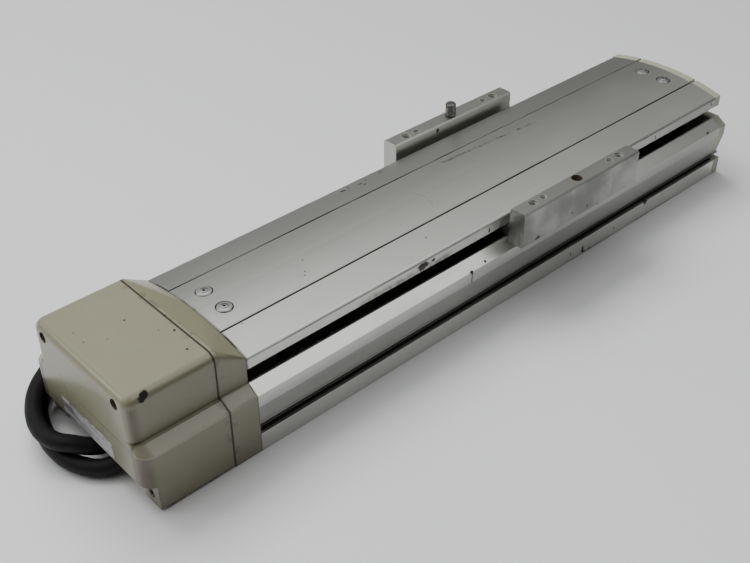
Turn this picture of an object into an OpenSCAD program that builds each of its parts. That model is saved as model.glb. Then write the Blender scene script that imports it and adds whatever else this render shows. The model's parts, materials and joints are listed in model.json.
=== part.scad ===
// Ball screw linear module. A slider with two raised ears runs on two rails in an
// aluminium channel. A ball screw under the crowned covers drives it, turned by a
// servo motor that sits in the moulded housing at the near end.
//
// Millimetres. X runs from the motor to the far end, Y across, Z up. The origin is
// at the middle of the footprint, on the mounting face.

/* [Channel] */
// Length of the channel extrusion
base_len = 467; // [400:1:800]
// Width over the feet
base_w = 120; // [118:1:130]
// Height of the channel's walls
wall_top = 48.7; // [48:0.1:52]
// Thickness of the walls at the band
wall_t = 9.5; // [8.5:0.1:10]
// Thickness of the floor
floor_t = 8; // [6:0.5:9]
// Height of the shelves that carry the rails
shelf_top = 20; // [19:0.5:20.5]
// Width of the trough between the shelves
trough_w = 42; // [40:1:44]
// Height of the foot below the T-slot
foot_h = 13.5; // [12:0.1:14]
// Mouth of the T-slot
tslot_h = 2.9; // [2:0.1:3.5]
// Depth of the T-slot
tslot_depth = 8; // [6:0.5:9]
// Height where the side band starts
band_low = 35; // [30:0.5:38]
// Height where the side band ends and the top chamfer starts
band_high = 43.6; // [42:0.1:45]
// Flat edge left on top of each wall
wall_land = 1.3; // [0.8:0.1:2]
// Spacing of the threaded mounting holes along the underside
mount_pitch = 100; // [80:1:120]
// Core diameter of the mounting holes, M8
mount_hole = 6.8; // [5:0.1:8]

/* [Covers] */
// Width over the covers
cover_w = 102; // [100:1:103]
// Width of the centre cover
centre_cover_w = 53.2; // [50:0.1:60]
// Open height of the side slots
side_slot = 9.3; // [9:0.1:11]
// Height of the lip at each outer edge
lip_h = 8.5; // [7.5:0.1:10]
// Rise of the crown above the outer edges
crown_rise = 6.5; // [5:0.1:8]
// Thickness of the cover sheets
cover_t = 2; // [1.6:0.1:2.4]
// Gap along the seams between the covers
seam_gap = 0.8; // [0.5:0.1:1.2]

/* [Slider] */
// Length of the slider
slider_len = 124; // [122:1:136]
// Distance of the slider from its stop at the motor end
slider_at = 196.85; // [20:0.05:200]
// Gap between the covers and the ears
ear_gap = 4.8; // [4.3:0.1:6]
// Thickness of the ears
ear_t = 12.9; // [12:0.1:15]
// Height of the ears' top faces
ear_top = 75; // [74:0.5:80]
// Spacing of the large tapped holes along the slider
big_pitch = 93; // [90:1:98]
// Core diameter of the large tapped holes, M8
big_hole = 6.8; // [6:0.1:8]
// Spacing of the small tapped holes along the slider
small_pitch = 72; // [66:1:76]
// Core diameter of the small tapped holes, M6
small_hole = 5; // [4:0.1:6]
// Diameter of the dowel holes
dowel_d = 8; // [6:0.5:8]
// Height of the dowel pin above its ear
dowel_stand = 10.5; // [6:0.5:14]

/* [Ball screw] */
// Outside diameter of the screw
screw_d = 16; // [15:0.5:17]
// Travel for each turn of the screw
screw_lead = 20; // [16:1:25]
// Height of the screw axis
screw_z = 32; // [31.5:0.1:32.5]
// Diameter of the bearing journals
journal_d = 10; // [9:0.5:11]
// Diameter of the motor shaft and of the screw's end in the coupling
shaft_d = 8; // [7:0.5:8.5]
// Diameter of the recirculating balls
ball_d = 3.2; // [2.4:0.1:3.2]
// Outside diameter of the ball nut
nut_d = 28; // [27:0.5:28.5]
// Length of the ball nut
nut_len = 44; // [36:1:60]

/* [Guides] */
// Distance between the two rails
rail_span = 70; // [69:1:72]
// Width of a rail
rail_w = 12; // [11:0.5:12.5]
// Height of a rail
rail_h = 8; // [7:0.5:8.5]
// Width of a guide block
block_w = 26; // [25:0.5:27]
// Height of a guide block above the rail seat
block_h = 13; // [12.5:0.1:13.5]
// Length of a guide block with its end seals
block_len = 40; // [36:1:42]
// Spacing of the rail screws
rail_pitch = 60; // [50:1:80]

/* [Ends] */
// Thickness of the motor bracket
bracket_t = 20; // [19:0.5:24]
// Length of the bearing blocks
bearing_block_len = 26; // [25:0.5:30]
// Outside diameter of the bearings
bearing_d = 26; // [25:0.5:28]
// Width of one bearing
bearing_w = 8; // [7:0.5:8]
// Length of the stop bumpers
bumper_t = 3.5; // [3:0.5:5]
// Thickness of the end caps
cap_t = 8; // [6:0.5:10]

/* [Motor] */
// Length of the motor cover
motor_cover_len = 58.5; // [58:0.5:70]
// Height of the motor cover
motor_cover_top = 80; // [79:0.5:84]
// Width of the motor cover's upper tier
motor_cover_w = 100; // [96:1:101]
// Wall of the motor cover
motor_cover_t = 3; // [2.5:0.1:3.2]
// Side of the square motor body
motor_side = 40; // [38:1:40]
// Length of the motor body
motor_len = 30; // [26:0.5:30]
// Length of the encoder behind the motor
encoder_len = 12; // [10:0.5:12]
// Outside diameter of the shaft coupling
coupling_d = 25; // [22:0.5:25]

/* [Cables] */
// Diameter of the two cables
cable_d = 11; // [9:0.1:11]

/* [Hidden] */

// Smoothness of round parts, and of those inside a hull
$fn = 64;
hull_fn = 24;
// Overshoot of a cut past the face that it opens
cut = 1;
// Radial clearance of a fixed fit and of a turning fit, the gap between parts that slide,
// and how much wider than its screw a clearance hole is
fit = 0.02;
run_fit = 0.05;
slide_gap = 0.3;
bolt_play = 0.4;
// Gap under a part that rests on a curved face
seat = 0.1;

// Where the channel, the bracket and the motor cover start and end
overall_len = motor_cover_len + bracket_t + base_len + cap_t;
x_front = -overall_len / 2;
x_bracket = x_front + motor_cover_len;
x_near = x_bracket + bracket_t;
x_far = x_near + base_len;

// Channel section: the walls stand clear of the guide blocks, the feet follow the width
base_half = base_w / 2;
block_gap = 2.5;
rail_y = rail_span / 2;
wall_in = rail_y + block_w / 2 + block_gap;
band_half = wall_in + wall_t;
body_half = max(base_half, band_half);
shelf_in = trough_w / 2;
chamfer_in = wall_in + wall_land;
waist_in = 3.7;
waist_rise = 1.8;
waist_edge = 0.6;
waist_y = base_half - waist_in;
waist_z = foot_h + tslot_h + waist_rise;
ledge_in = 2.4;
throat_depth = 4.6;
tslot_drop = 2.3;
tslot_head = 0.7;
mount_in = 15;
mount_y = base_half - mount_in;
mount_depth = 14;

// Cover section: the crown is an arc through the outer edges and the middle
cover_half = cover_w / 2;
cover_edge_z = wall_top + side_slot + lip_h;
crown_z = cover_edge_z + crown_rise;
crown_r = (pow(cover_half, 2) + pow(crown_rise, 2)) / (2 * crown_rise);
crown_mid = crown_z - crown_r;
seam_y = centre_cover_w / 2;
lip_t = 3;
lip_edge = 0.8;
ledge_w = 5;
ledge_t = 1.5;

// Slider: the saddle between the stops is shorter than the ears
saddle_inset = 10;
saddle_len = slider_len - 2 * saddle_inset;
end_gap = 1;
end_inset = 1;
stop_x = x_near + end_inset + bearing_block_len + bumper_t + end_gap;
slider_x = stop_x + saddle_len / 2 + slider_at;
cover_over = 0.5;
ear_in = max(cover_half, wall_in + cover_over) + ear_gap;
ear_out = ear_in + ear_t;
ear_drop = 1.2;
ear_low = wall_top - ear_drop;
ear_edge = 1.2;
arm_gap = 0.8;
arm_top = wall_top + side_slot - arm_gap;
arm_low = wall_top + arm_gap;
arm_inset = 3;
saddle_gap = 4.5;
saddle_half = wall_in - saddle_gap;
hole_in = 5.7;
hole_y = ear_in + hole_in;
hole_floor = 5;
hole_depth = ear_top - ear_low - hole_floor;
dowel_depth = 14;
dowel_relief = 0.6;
dowel_tip = 0.8;

// Guides
block_top = shelf_top + block_h;
block_skirt = 2;
seal_t = 4;
seal_inset = 0.5;
block_x = (saddle_len - block_len) / 2 - end_gap;
rail_start = x_near + end_inset + bearing_block_len + end_gap;
rail_end = x_far - end_inset - bearing_block_len - end_gap;
rail_margin = 10;
rail_gaps = floor((rail_end - rail_start - 2 * rail_margin) / rail_pitch);
rail_groove_d = 3.2;
rail_groove_out = 0.6;
rail_screw_sink = 0.5;
rail_first = (rail_start + rail_end - rail_gaps * rail_pitch) / 2;
rail_bolt = 3;
rail_bolt_depth = 8;
rail_head_d = 6;
rail_head_h = 3;

// Screws between the saddle and the guide blocks
saddle_bolt = 3;
saddle_bolt_grip = 6;
saddle_head_d = 5.5;
saddle_head_h = 3;
saddle_bolt_x = 10;
saddle_screw_sink = 0.5;
saddle_bolt_y = (rail_w / 2 + slide_gap + block_w / 2) / 2;
arch_half = 8;
arch_roof = 4;
arch_top = arm_low - arch_roof;

// Screw line, from the coupling to the rear bearing
front_block_x = x_near + end_inset;
rear_block_x = x_far - end_inset - bearing_block_len;
block_lip = 2;
bearing_x = front_block_x + bearing_block_len - 2 * bearing_w - block_lip;
thread_x = bearing_x + 2 * bearing_w;
rear_bearing_x = rear_block_x + block_lip + end_gap;
journal_stand = 4;
journal_end = rear_bearing_x + bearing_w + journal_stand;
journal_in = 2;
circlip_t = 1;
circlip_gap = 0.1;
circlip_depth = 0.4;
lock_nut_w = 5;
lock_nut_d = 20;
lock_nut_x = bearing_x - lock_nut_w;
coupling_len = 20;
coupling_gap = 0.5;
coupling_x = lock_nut_x - coupling_gap - coupling_len;
shaft_end = coupling_x + coupling_len / 2;
shaft_gap = 1;
rotor_end = shaft_end - shaft_gap;
rim_sides = 10;
track_steps = 4;
track_slices = 12;

// Ball nut and the boss that holds it
nut_bore = screw_d + 2 * slide_gap;
nut_rim = 6.5;
nut_flange_d = nut_d + 2 * nut_rim;
nut_flange_t = 7;
nut_flat = 1.5;
nut_flange_h = nut_d + 2 * nut_flat;
nut_bolt_out = 3.2;
nut_pcd = nut_d + 2 * nut_bolt_out;
nut_bolt = 4;
nut_bolt_angle = 35;
nut_head_d = 7;
nut_head_h = 4;
nut_bolt_grip = 10;
nut_x = slider_x - saddle_len / 2 + nut_head_h + end_gap;
boss_x = nut_x + nut_flange_t;
boss_wall = 4;
boss_floor = 2;
boss_half = nut_d / 2 + boss_wall;
boss_low = screw_z - nut_d / 2 - boss_floor;

// Bearing blocks, their screws and the bumpers
block_in = 7;
block_half = cover_half - block_in;
block_bolt = 5;
block_bolt_in = 8;
block_bolt_y = block_half - block_bolt_in;
block_bolt_head_d = 8.5;
block_bolt_head_h = 5;
block_bolt_grip = 14;
block_bolt_sink = 1;
bumper_d = 14;
bumper_in = 14;
bumper_down = 5;
bumper_y = block_half - bumper_in;
bumper_z = wall_top - bumper_down;

// Screws of the centre cover
cover_bolt = 4;
cover_bolt_len = 12;
cover_screw_y = 10.4;
cover_screw_in = 15.3;
cover_screw_head = 10.2;
cover_screw_rise = 2.2;
cover_recess = 0.6;
cover_screw_rim = 0.8;
cover_socket = 2.9;
cover_socket_depth = 1.4;
cover_seat_z = crown_mid + sqrt(pow(crown_r, 2) - pow(cover_screw_y + cover_screw_head / 2, 2))
    - cover_recess;

// Motor cover: two tiers with a sloping ledge between them, cut back low in front
ledge_low = band_high;
ledge_drop = 0.7;
ledge_high = wall_top - ledge_drop;
ledge_rise = 0.3;
ledge_out = 2.5;
tier_half = motor_cover_w / 2;
tier_r = 6.5;
lower_r = 9;
bracket_lip = 2;
ground_gap = 1.6;
grommet_lip = 1;
encoder_gap = 1.5;
undercut_z = 20;
undercut_x = motor_cover_len - motor_len - encoder_len - motor_cover_t - grommet_lip - encoder_gap;
pad_w = 16;
undercut_half = body_half - pad_w;
pad_in = 6.5;
boss_d = 11;
sunk_hole_d = 7;
sunk_depth = 6;
sunk_head_h = 3;
cover_bolt_grip = 10;
upper_screw_in = 12;
upper_screw_down = 8;
upper_screw_y = tier_half - upper_screw_in;
upper_screw_z = motor_cover_top - upper_screw_down;
lower_screw_in = 9;
lower_screw_y = body_half - lower_screw_in;
lower_screw_z = 9.5;

// Motor
motor_x = x_bracket - motor_len;
encoder_x = motor_x - encoder_len;
air_gap = 0.3;
rotor_d = 24;
rotor_wall = 4;
flange_t = 5;
motor_bolt = 3;
motor_bolt_len = 10;
motor_head_d = 5.5;
motor_head_h = 3;
motor_bolt_in = 3.8;
motor_bolt_at = motor_side / 2 - motor_bolt_in;
motor_flat = motor_bolt_at * sqrt(2) - motor_head_h;
groove_first = 6;
groove_pitch = 4;
groove_w = 1.5;
groove_depth = 1;
encoder_rim = 1.5;

// Home sensor: a fork on the trough's floor and a flag under the boss
fork_half = 6.5;
fork_slot = 3.4;
fork_web = 2.2;
flag_t = 1.2;
flag_len = 10;
flag_foot = 8;
flag_foot_t = 0.8;
flag_in = 20;
flag_x = slider_x - saddle_len / 2 + flag_in;
fork_len = 12;
fork_gap = 2;

// Screws of the end caps: two in the base cap, two in the centre cap, one in each side cap
cap_bolt = 3;
cap_bolt_grip = 10;
cap_head_d = 5.5;
cap_head_h = 3;
cap_edge = 1.2;
notch_half = 1.2;
cap_screw_sink = 0.5;
base_screw_y = 30;
centre_screw_y = 12;
side_screw_in = 6;
centre_screw_down = 3.5;
side_screw_down = 4.5;
cap_screw_at = [for (side = [-1, 1]) each [[side * base_screw_y, screw_z],
    [side * centre_screw_y, cover_edge_z - centre_screw_down],
    [side * (block_half - side_screw_in), cover_edge_z - side_screw_down]]];

// Cables: they leave through a grommet in the cut-back front and lie round the corner
cable_r = cable_d / 2;
cable_sides = 8;
grommet_wall = 1.6;
grommet_out = 1.5;
grommet_edge = 1.2;
grommet_x = x_front + undercut_x - grommet_out;
upper_exit = [-2, 11];
lower_exit = [-18, 9];
motor_cable_route = [[-267.3, -2, 11], [-269.5, -2, 11], [-274.5, -1.5, 12.6], [-280.5, 0.5, 15],
    [-287, 5, 17.8], [-292.5, 12, 18.2], [-295, 21, 18.2], [-294.5, 31, 18], [-291.5, 41, 18],
    [-286.5, 50.5, 18], [-279.5, 60, 18], [-270.5, 68, 18], [-259, 76, 17], [-245, 81.5, 14],
    [-228, 84, 10], [-208, 85, 7], [-185, 85, 6.2], [-155, 85, 6.2], [-125, 85, 6.2],
    [-95, 85, 6.2], [-65, 85, 6.2], [-35, 85, 6.2], [-5, 85, 6.2], [25, 85, 6.2], [50, 85, 6.2]];
encoder_cable_route = [[-267.3, -18, 9], [-269.5, -18, 9], [-274.5, -16, 7.4], [-280.5, -12, 6.2],
    [-286.5, -4.5, 6.2], [-290.5, 5, 6.2], [-292, 16, 6.2], [-291.5, 27, 6.2], [-289, 38, 6.2],
    [-285.5, 49, 6.2], [-280, 59.5, 6.2], [-271.5, 68, 6.2], [-258.5, 71.5, 6.2], [-240, 71.5, 6.2],
    [-210, 71.5, 6.2], [-180, 71.5, 6.2], [-150, 71.5, 6.2], [-120, 71.5, 6.2], [-90, 71.5, 6.2],
    [-60, 71.5, 6.2], [-30, 71.5, 6.2]];

// Plugs on the free ends of the cables
plug_len = 32;
plug_collar = 10;
plug_collar_in = 2;
plug_rise = 0.2;
plug_edge = 1.5;
plug_top_edge = 1.2;
plug_latch_w = 6;
plug_latch_end = 2;
motor_plug_w = 18;
encoder_plug_w = 15;
contact_d = 2;
contact_depth = 6;
contact_pitch = 4;

// ---- helpers ----

// Extrudes a section drawn as (across, up) along X
module along_x(x, len) {
    translate([x, 0, 0]) rotate([90, 0, 90]) linear_extrude(len) children();
}

// A round bar along X, on the screw axis unless told otherwise
module bar(x, len, d, y = 0, z = screw_z) {
    translate([x, y, z]) rotate([0, 90, 0]) cylinder(h = len, d = d);
}

// A box from its low corner to its high corner
module block(low, high) {
    translate(low) cube(high - low);
}

module both_sides() {
    children();
    mirror([0, 1, 0]) children();
}

// Socket head screw with the top of its head at the origin, pointing down
module cap_screw(head_d, head_h, d, len) {
    difference() {
        union() {
            translate([0, 0, -head_h]) cylinder(h = head_h, d = head_d);
            translate([0, 0, -head_h - len]) cylinder(h = len, d = d);
        }
        translate([0, 0, -0.6 * head_h]) cylinder(h = head_h, d = 0.55 * head_d, $fn = 6);
    }
}

// The same screw pointing along X, with its head towards the motor
module cap_screw_x(head_d, head_h, d, len) {
    rotate([0, -90, 0]) cap_screw(head_d, head_h, d, len);
}

function flipped(half) = [for (i = [len(half) - 1 : -1 : 0]) [-half[i][0], half[i][1]]];

// Right half of the outline below the side slots, with a T-slot throat of the given depth
function outside_half(throat) = [[base_half, 0], [base_half, foot_h], [base_half - throat, foot_h],
    [base_half - throat, foot_h + tslot_h], [base_half - ledge_in, foot_h + tslot_h],
    [base_half - ledge_in, waist_z - waist_edge], [waist_y, waist_z], [band_half, band_low],
    [band_half, band_high], [chamfer_in, wall_top]];

// The band between two arcs that run parallel to the crown, from y1 to y2
module crown_band(drop_top, drop_low, y1, y2) {
    intersection() {
        difference() {
            translate([0, crown_mid]) circle(r = crown_r - drop_top, $fn = 180);
            if (drop_low > drop_top)
                translate([0, crown_mid]) circle(r = crown_r - drop_low, $fn = 180);
        }
        translate([y1, 0]) square([y2 - y1, crown_z + cut]);
    }
}

// Everything under an arc parallel to the crown, between a height and the arc
module crown_fill(drop, half, low) {
    intersection() {
        translate([0, crown_mid]) circle(r = crown_r - drop, $fn = 180);
        translate([-half, low]) square([2 * half, crown_z + cut - low]);
    }
}

// ---- channel ----

module channel_section() {
    difference() {
        polygon(concat(outside_half(throat_depth), [[wall_in, wall_top], [wall_in, shelf_top],
            [shelf_in, shelf_top], [shelf_in, floor_t], [-shelf_in, floor_t], [-shelf_in, shelf_top],
            [-wall_in, shelf_top], [-wall_in, wall_top]], flipped(outside_half(throat_depth))));
        for (side = [-1, 1])
            translate([side * (base_half - (throat_depth + tslot_depth) / 2)
                - (tslot_depth - throat_depth) / 2, foot_h - tslot_drop])
                square([tslot_depth - throat_depth, tslot_h + tslot_drop + tslot_head]);
    }
}

// Threaded holes of the underside
module mount_places() {
    for (i = [-1.5 : 1.5], side = [-1, 1])
        translate([(x_near + x_far) / 2 + i * mount_pitch, side * mount_y, 0]) children();
}

// Screws that hold the two bearing blocks down, from below
module block_bolt_places() {
    for (x = [front_block_x, rear_block_x], side = [-1, 1])
        translate([x + bearing_block_len / 2, side * block_bolt_y, 0]) children();
}

module rail_screw_places() {
    for (i = [0 : rail_gaps], side = [-1, 1])
        translate([rail_first + i * rail_pitch, side * rail_y, 0]) children();
}

module channel() {
    color("silver") difference() {
        along_x(x_near, base_len) channel_section();
        mount_places() translate([0, 0, -cut]) cylinder(h = mount_depth + cut, d = mount_hole);
        block_bolt_places() {
            translate([0, 0, -cut]) cylinder(h = shelf_top + 2 * cut, d = block_bolt + bolt_play);
            translate([0, 0, -cut]) cylinder(h = block_bolt_head_h + block_bolt_sink + cut,
                d = block_bolt_head_d + 2 * slide_gap);
        }
        rail_screw_places() translate([0, 0, shelf_top - rail_bolt_depth])
            cylinder(h = rail_bolt_depth + cut, d = rail_bolt + 2 * fit);
    }
}

// ---- motor end ----

// Outline of the motor bracket below the covers
function bracket_half() = [[body_half, 0], [body_half, band_high], [cover_half + 1, ledge_high],
    [cover_half, ledge_high + ledge_rise]];

// Outline of the motor cover's upper tier
module upper_tier_section() {
    translate([-tier_half, ledge_high - 2])
        square([2 * tier_half, motor_cover_top - tier_r - ledge_high + 2]);
    translate([-tier_half + tier_r, ledge_high])
        square([2 * (tier_half - tier_r), motor_cover_top - ledge_high]);
    for (side = [-1, 1])
        translate([side * (tier_half - tier_r), motor_cover_top - tier_r])
            circle(r = tier_r, $fn = hull_fn);
}

module motor_bracket() {
    color([0.6, 0.59, 0.5]) difference() {
        union() {
            along_x(x_bracket, bracket_t) polygon(concat(bracket_half(), flipped(bracket_half())));
            hull() {
                along_x(x_bracket, bracket_lip) upper_tier_section();
                along_x(x_near - 0.1, 0.1) crown_fill(0, cover_half, ledge_high);
            }
        }
        bar(x_bracket - cut, bracket_t + 2 * cut, coupling_d + 2);
        motor_screw_places()
            bar(x_bracket - cut, motor_bolt_len + cut, motor_bolt + 2 * fit, 0, 0);
        cover_screw_hole_places()
            bar(x_bracket - cut, cover_bolt_grip + cut, cover_bolt + 2 * fit, 0, 0);
    }
}

// Places of the motor cover's screws, and of the motor's
module cover_screw_hole_places() {
    for (side = [-1, 1]) {
        translate([0, side * upper_screw_y, upper_screw_z]) children();
        translate([0, side * lower_screw_y, lower_screw_z]) children();
    }
}

module motor_screw_places() {
    for (y = [-1, 1], z = [-1, 1])
        translate([0, y * motor_bolt_at, screw_z + z * motor_bolt_at]) children();
}

// Plan outline of a tier: square at the bracket, round at the front corners
module tier_plan(half, r, x_end) {
    translate([x_front + r, -half]) square([x_end - x_front - r, 2 * half]);
    translate([x_front, -half + r]) square([x_end - x_front, 2 * (half - r)]);
    for (side = [-1, 1]) translate([x_front + r, side * (half - r)]) circle(r = r);
}

module motor_cover_outside() {
    x_end = x_bracket - seam_gap / 2;
    translate([0, 0, ground_gap]) linear_extrude(ledge_low - ground_gap)
        tier_plan(body_half, lower_r, x_end);
    // The sloping ledge between the tiers
    hull() {
        translate([0, 0, ledge_low - 0.1]) linear_extrude(0.1)
            tier_plan(body_half, lower_r, x_end, $fn = hull_fn);
        translate([0, 0, ledge_high]) linear_extrude(0.1)
            tier_plan(tier_half + ledge_out, tier_r + 1, x_end, $fn = hull_fn);
    }
    // The upper tier, rounded along its top edges and front corners
    hull() for (side = [-1, 1]) {
        y = side * (tier_half - tier_r);
        translate([x_front + tier_r, y, motor_cover_top - tier_r]) sphere(r = tier_r, $fn = hull_fn);
        translate([x_front + tier_r, y, ledge_low]) cylinder(h = 1, r = tier_r, $fn = hull_fn);
        translate([x_end - 1, y, motor_cover_top - tier_r]) rotate([0, 90, 0])
            cylinder(h = 1, r = tier_r, $fn = hull_fn);
        translate([x_end - 1, y - tier_r, ledge_low]) cube([1, 2 * tier_r, 1]);
    }
}

// The stack of two cable passages, grown by a margin
module grommet_shape(margin) {
    for (exit = [upper_exit, lower_exit]) translate(exit) circle(r = cable_r + margin);
    reach = cable_r + margin;
    polygon([[upper_exit[0], upper_exit[1] + reach], [lower_exit[0], lower_exit[1] + reach],
        [lower_exit[0], lower_exit[1] - reach], [upper_exit[0], lower_exit[1] - reach]]);
}

module motor_cover() {
    wall = motor_cover_t;
    color([0.6, 0.59, 0.5]) difference() {
        union() {
            difference() {
                motor_cover_outside();
                block([x_front + wall, -tier_half + wall + 1, undercut_z + wall],
                    [x_bracket + cut, tier_half - wall - 1, motor_cover_top - wall - 1]);
                block([x_front + undercut_x + wall, -body_half + 2 * wall, ground_gap + wall],
                    [x_bracket + cut, body_half - 2 * wall, ledge_low - wall]);
            }
            cover_screw_hole_places()
                bar(x_front + wall - 1, motor_cover_len - wall + 1 - seam_gap / 2, boss_d, 0, 0);
        }
        // The front is cut back below the undercut: deep in the middle, shallow at the screw pads
        block([x_front - cut, -undercut_half, -cut], [x_front + undercut_x, undercut_half, undercut_z]);
        both_sides() block([x_front - cut, undercut_half - cut, -cut],
            [x_front + pad_in, body_half + cut, undercut_z]);
        cover_screw_hole_places()
            bar(x_front - cut, motor_cover_len + cut, cover_bolt + 0.5, 0, 0);
        both_sides() {
            bar(x_front - cut, sunk_depth + cut, sunk_hole_d, upper_screw_y, upper_screw_z);
            bar(x_front - cut, pad_in + sunk_head_h + cut, sunk_hole_d, lower_screw_y,
                lower_screw_z);
        }
        along_x(x_front + undercut_x - cut, wall + cut) grommet_shape(grommet_wall + fit);
    }
}

module motor_cover_screws() {
    color("dimgray") both_sides() {
        translate([x_front + sunk_depth - sunk_head_h, upper_screw_y, upper_screw_z])
            cap_screw_x(sunk_hole_d - 0.5, sunk_head_h, cover_bolt,
                motor_cover_len - sunk_depth + cover_bolt_grip - 1);
        translate([x_front + pad_in, lower_screw_y, lower_screw_z])
            cap_screw_x(sunk_hole_d - 0.5, sunk_head_h, cover_bolt,
                motor_cover_len - pad_in - sunk_head_h + cover_bolt_grip - 1);
    }
}

// Square motor with its corners cut back behind the flange, so that the screws reach it
module motor_housing() {
    half = motor_side / 2;
    color([0.2, 0.2, 0.22]) difference() {
        union() {
            block([x_bracket - flange_t, -half, screw_z - half], [x_bracket, half, screw_z + half]);
            intersection() {
                block([motor_x, -half, screw_z - half], [x_bracket, half, screw_z + half]);
                translate([motor_x, 0, screw_z]) rotate([45, 0, 0])
                    translate([0, -motor_flat, -motor_flat])
                        cube([motor_len, 2 * motor_flat, 2 * motor_flat]);
            }
        }
        bar(motor_x + rotor_wall, motor_len - rotor_wall - flange_t, rotor_d + 2 * air_gap);
        bar(motor_x - cut, motor_len + 2 * cut, shaft_d + 2 * run_fit);
        motor_screw_places() bar(motor_x, motor_len + cut, motor_bolt + bolt_play, 0, 0);
        // Cooling grooves round the body
        for (x = [motor_x + groove_first : groove_pitch : x_bracket - flange_t - groove_pitch])
            both_sides() block([x, half - groove_depth, screw_z - motor_side / 4],
                [x + groove_w, half + cut, screw_z + motor_side / 4]);
    }
}

module motor_rotor() {
    color("gainsboro") union() {
        bar(motor_x + rotor_wall + slide_gap,
            motor_len - rotor_wall - flange_t - 2 * slide_gap, rotor_d);
        bar(motor_x - encoder_len / 2, rotor_end - motor_x + encoder_len / 2, shaft_d);
    }
}

module motor_encoder() {
    half = motor_side / 2 - 1;
    color([0.12, 0.12, 0.13]) difference() {
        union() {
            block([encoder_x + encoder_rim, -half, screw_z - half],
                [motor_x, half, screw_z + half]);
            block([encoder_x, -half + 2, screw_z - half + 2],
                [encoder_x + encoder_rim, half - 2, screw_z + half - 2]);
        }
        bar(motor_x - encoder_len / 2 - 1, encoder_len / 2 + 1 + cut, shaft_d + 2 * run_fit);
    }
}

module motor_screws() {
    color("gray") motor_screw_places() translate([x_bracket - flange_t - motor_head_h, 0, 0])
        cap_screw_x(motor_head_d, motor_head_h, motor_bolt, flange_t + motor_bolt_len - 1);
}

// Two clamping hubs with a slotted web between them
module shaft_coupling() {
    color("lightgray") difference() {
        bar(coupling_x, coupling_len, coupling_d);
        bar(coupling_x - cut, coupling_len + 2 * cut, shaft_d + 2 * fit);
        for (k = [0, 1])
            translate([coupling_x + coupling_len * (0.4 + 0.2 * k), 0, screw_z]) rotate([180 * k, 0, 0])
                block([-0.5, -coupling_d, -shaft_d / 2 - 1.5], [0.5, coupling_d, coupling_d]);
        for (x = [0.18, 0.82])
            translate([coupling_x + coupling_len * x, 0, screw_z + 0.34 * coupling_d])
                rotate([90, 0, 0]) cylinder(h = 2 * coupling_d, d = 0.1 * coupling_d, center = true);
    }
}

// ---- screw line ----

// A block under the covers: its lower part fills the trough, its top follows the covers
module bearing_block(x) {
    along_x(x, bearing_block_len) {
        crown_fill(cover_t + ledge_t + 2 * seat, block_half, shelf_top);
        crown_fill(cover_t + seat, seam_y - ledge_w - seat, shelf_top);
        translate([-shelf_in + seat, floor_t]) square([trough_w - 2 * seat, shelf_top - floor_t + 1]);
    }
}

// Holes for the screws that come up through the channel
module block_bolt_holes(x) {
    for (side = [-1, 1]) translate([x + bearing_block_len / 2, side * block_bolt_y, shelf_top - cut])
        cylinder(h = block_bolt_grip + cut, d = block_bolt + 2 * fit);
}

module bumper_places() {
    for (side = [-1, 1]) translate([0, side * bumper_y, bumper_z]) children();
}

module front_bearing_block() {
    color([0.66, 0.67, 0.69]) difference() {
        bearing_block(front_block_x);
        bar(front_block_x - cut, bearing_x + 2 * bearing_w - front_block_x + cut, bearing_d + 2 * fit);
        bar(front_block_x, bearing_block_len + cut, bearing_d - 4);
        block_bolt_holes(front_block_x);
        cover_screw_places(x_near + cover_screw_in) translate([0, 0, -cover_bolt_len - cover_recess])
            cylinder(h = cover_bolt_len + 5, d = cover_bolt + 2 * fit);
    }
}

module rear_bearing_block() {
    color([0.66, 0.67, 0.69]) difference() {
        bearing_block(rear_block_x);
        bar(rear_bearing_x, bearing_block_len, bearing_d + 2 * fit);
        bar(rear_block_x - cut, bearing_block_len, bearing_d - 4);
        block_bolt_holes(rear_block_x);
        cover_screw_places(x_far - cover_screw_in) translate([0, 0, -cover_bolt_len - cover_recess])
            cylinder(h = cover_bolt_len + 5, d = cover_bolt + 2 * fit);
        for (place = cap_screw_at) bar(x_far - cap_bolt_grip, cap_bolt_grip + cut, cap_bolt + 2 * fit,
            place[0], place[1]);
    }
}

// A shielded ball bearing: both faces are set back between the rings
module ball_bearing(x) {
    translate([x, 0, screw_z]) rotate([0, 90, 0]) difference() {
        cylinder(h = bearing_w, d = bearing_d);
        translate([0, 0, -cut]) cylinder(h = bearing_w + 2 * cut, d = journal_d + 2 * run_fit);
        for (z = [-cut, bearing_w - 0.6]) translate([0, 0, z]) difference() {
            cylinder(h = 0.6 + cut, d = bearing_d - 4);
            cylinder(h = 0.6 + cut, d = journal_d + 4);
        }
    }
}

module front_bearings() {
    color("lightsteelblue") for (i = [0, 1]) ball_bearing(bearing_x + i * bearing_w);
}

module rear_bearing() {
    color("lightsteelblue") ball_bearing(rear_bearing_x);
}

module bearing_lock_nut() {
    color("dimgray") difference() {
        bar(lock_nut_x, lock_nut_w, lock_nut_d);
        bar(lock_nut_x - cut, lock_nut_w + 2 * cut, journal_d + 2 * fit);
        for (a = [0 : 90 : 270]) translate([0, 0, screw_z]) rotate([a, 0, 0])
            block([lock_nut_x - cut, -2, lock_nut_d / 2 - 2],
                [lock_nut_x + lock_nut_w + cut, 2, lock_nut_d]);
    }
}

module screw_circlip() {
    color("dimgray") difference() {
        bar(rear_bearing_x + bearing_w + circlip_gap, circlip_t, journal_d + 4);
        bar(rear_bearing_x + bearing_w - cut, circlip_t + 3 * cut, journal_d - 0.6);
        block([rear_bearing_x + bearing_w - cut, -2, screw_z],
            [journal_end + cut, 2, screw_z + journal_d]);
    }
}

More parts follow.
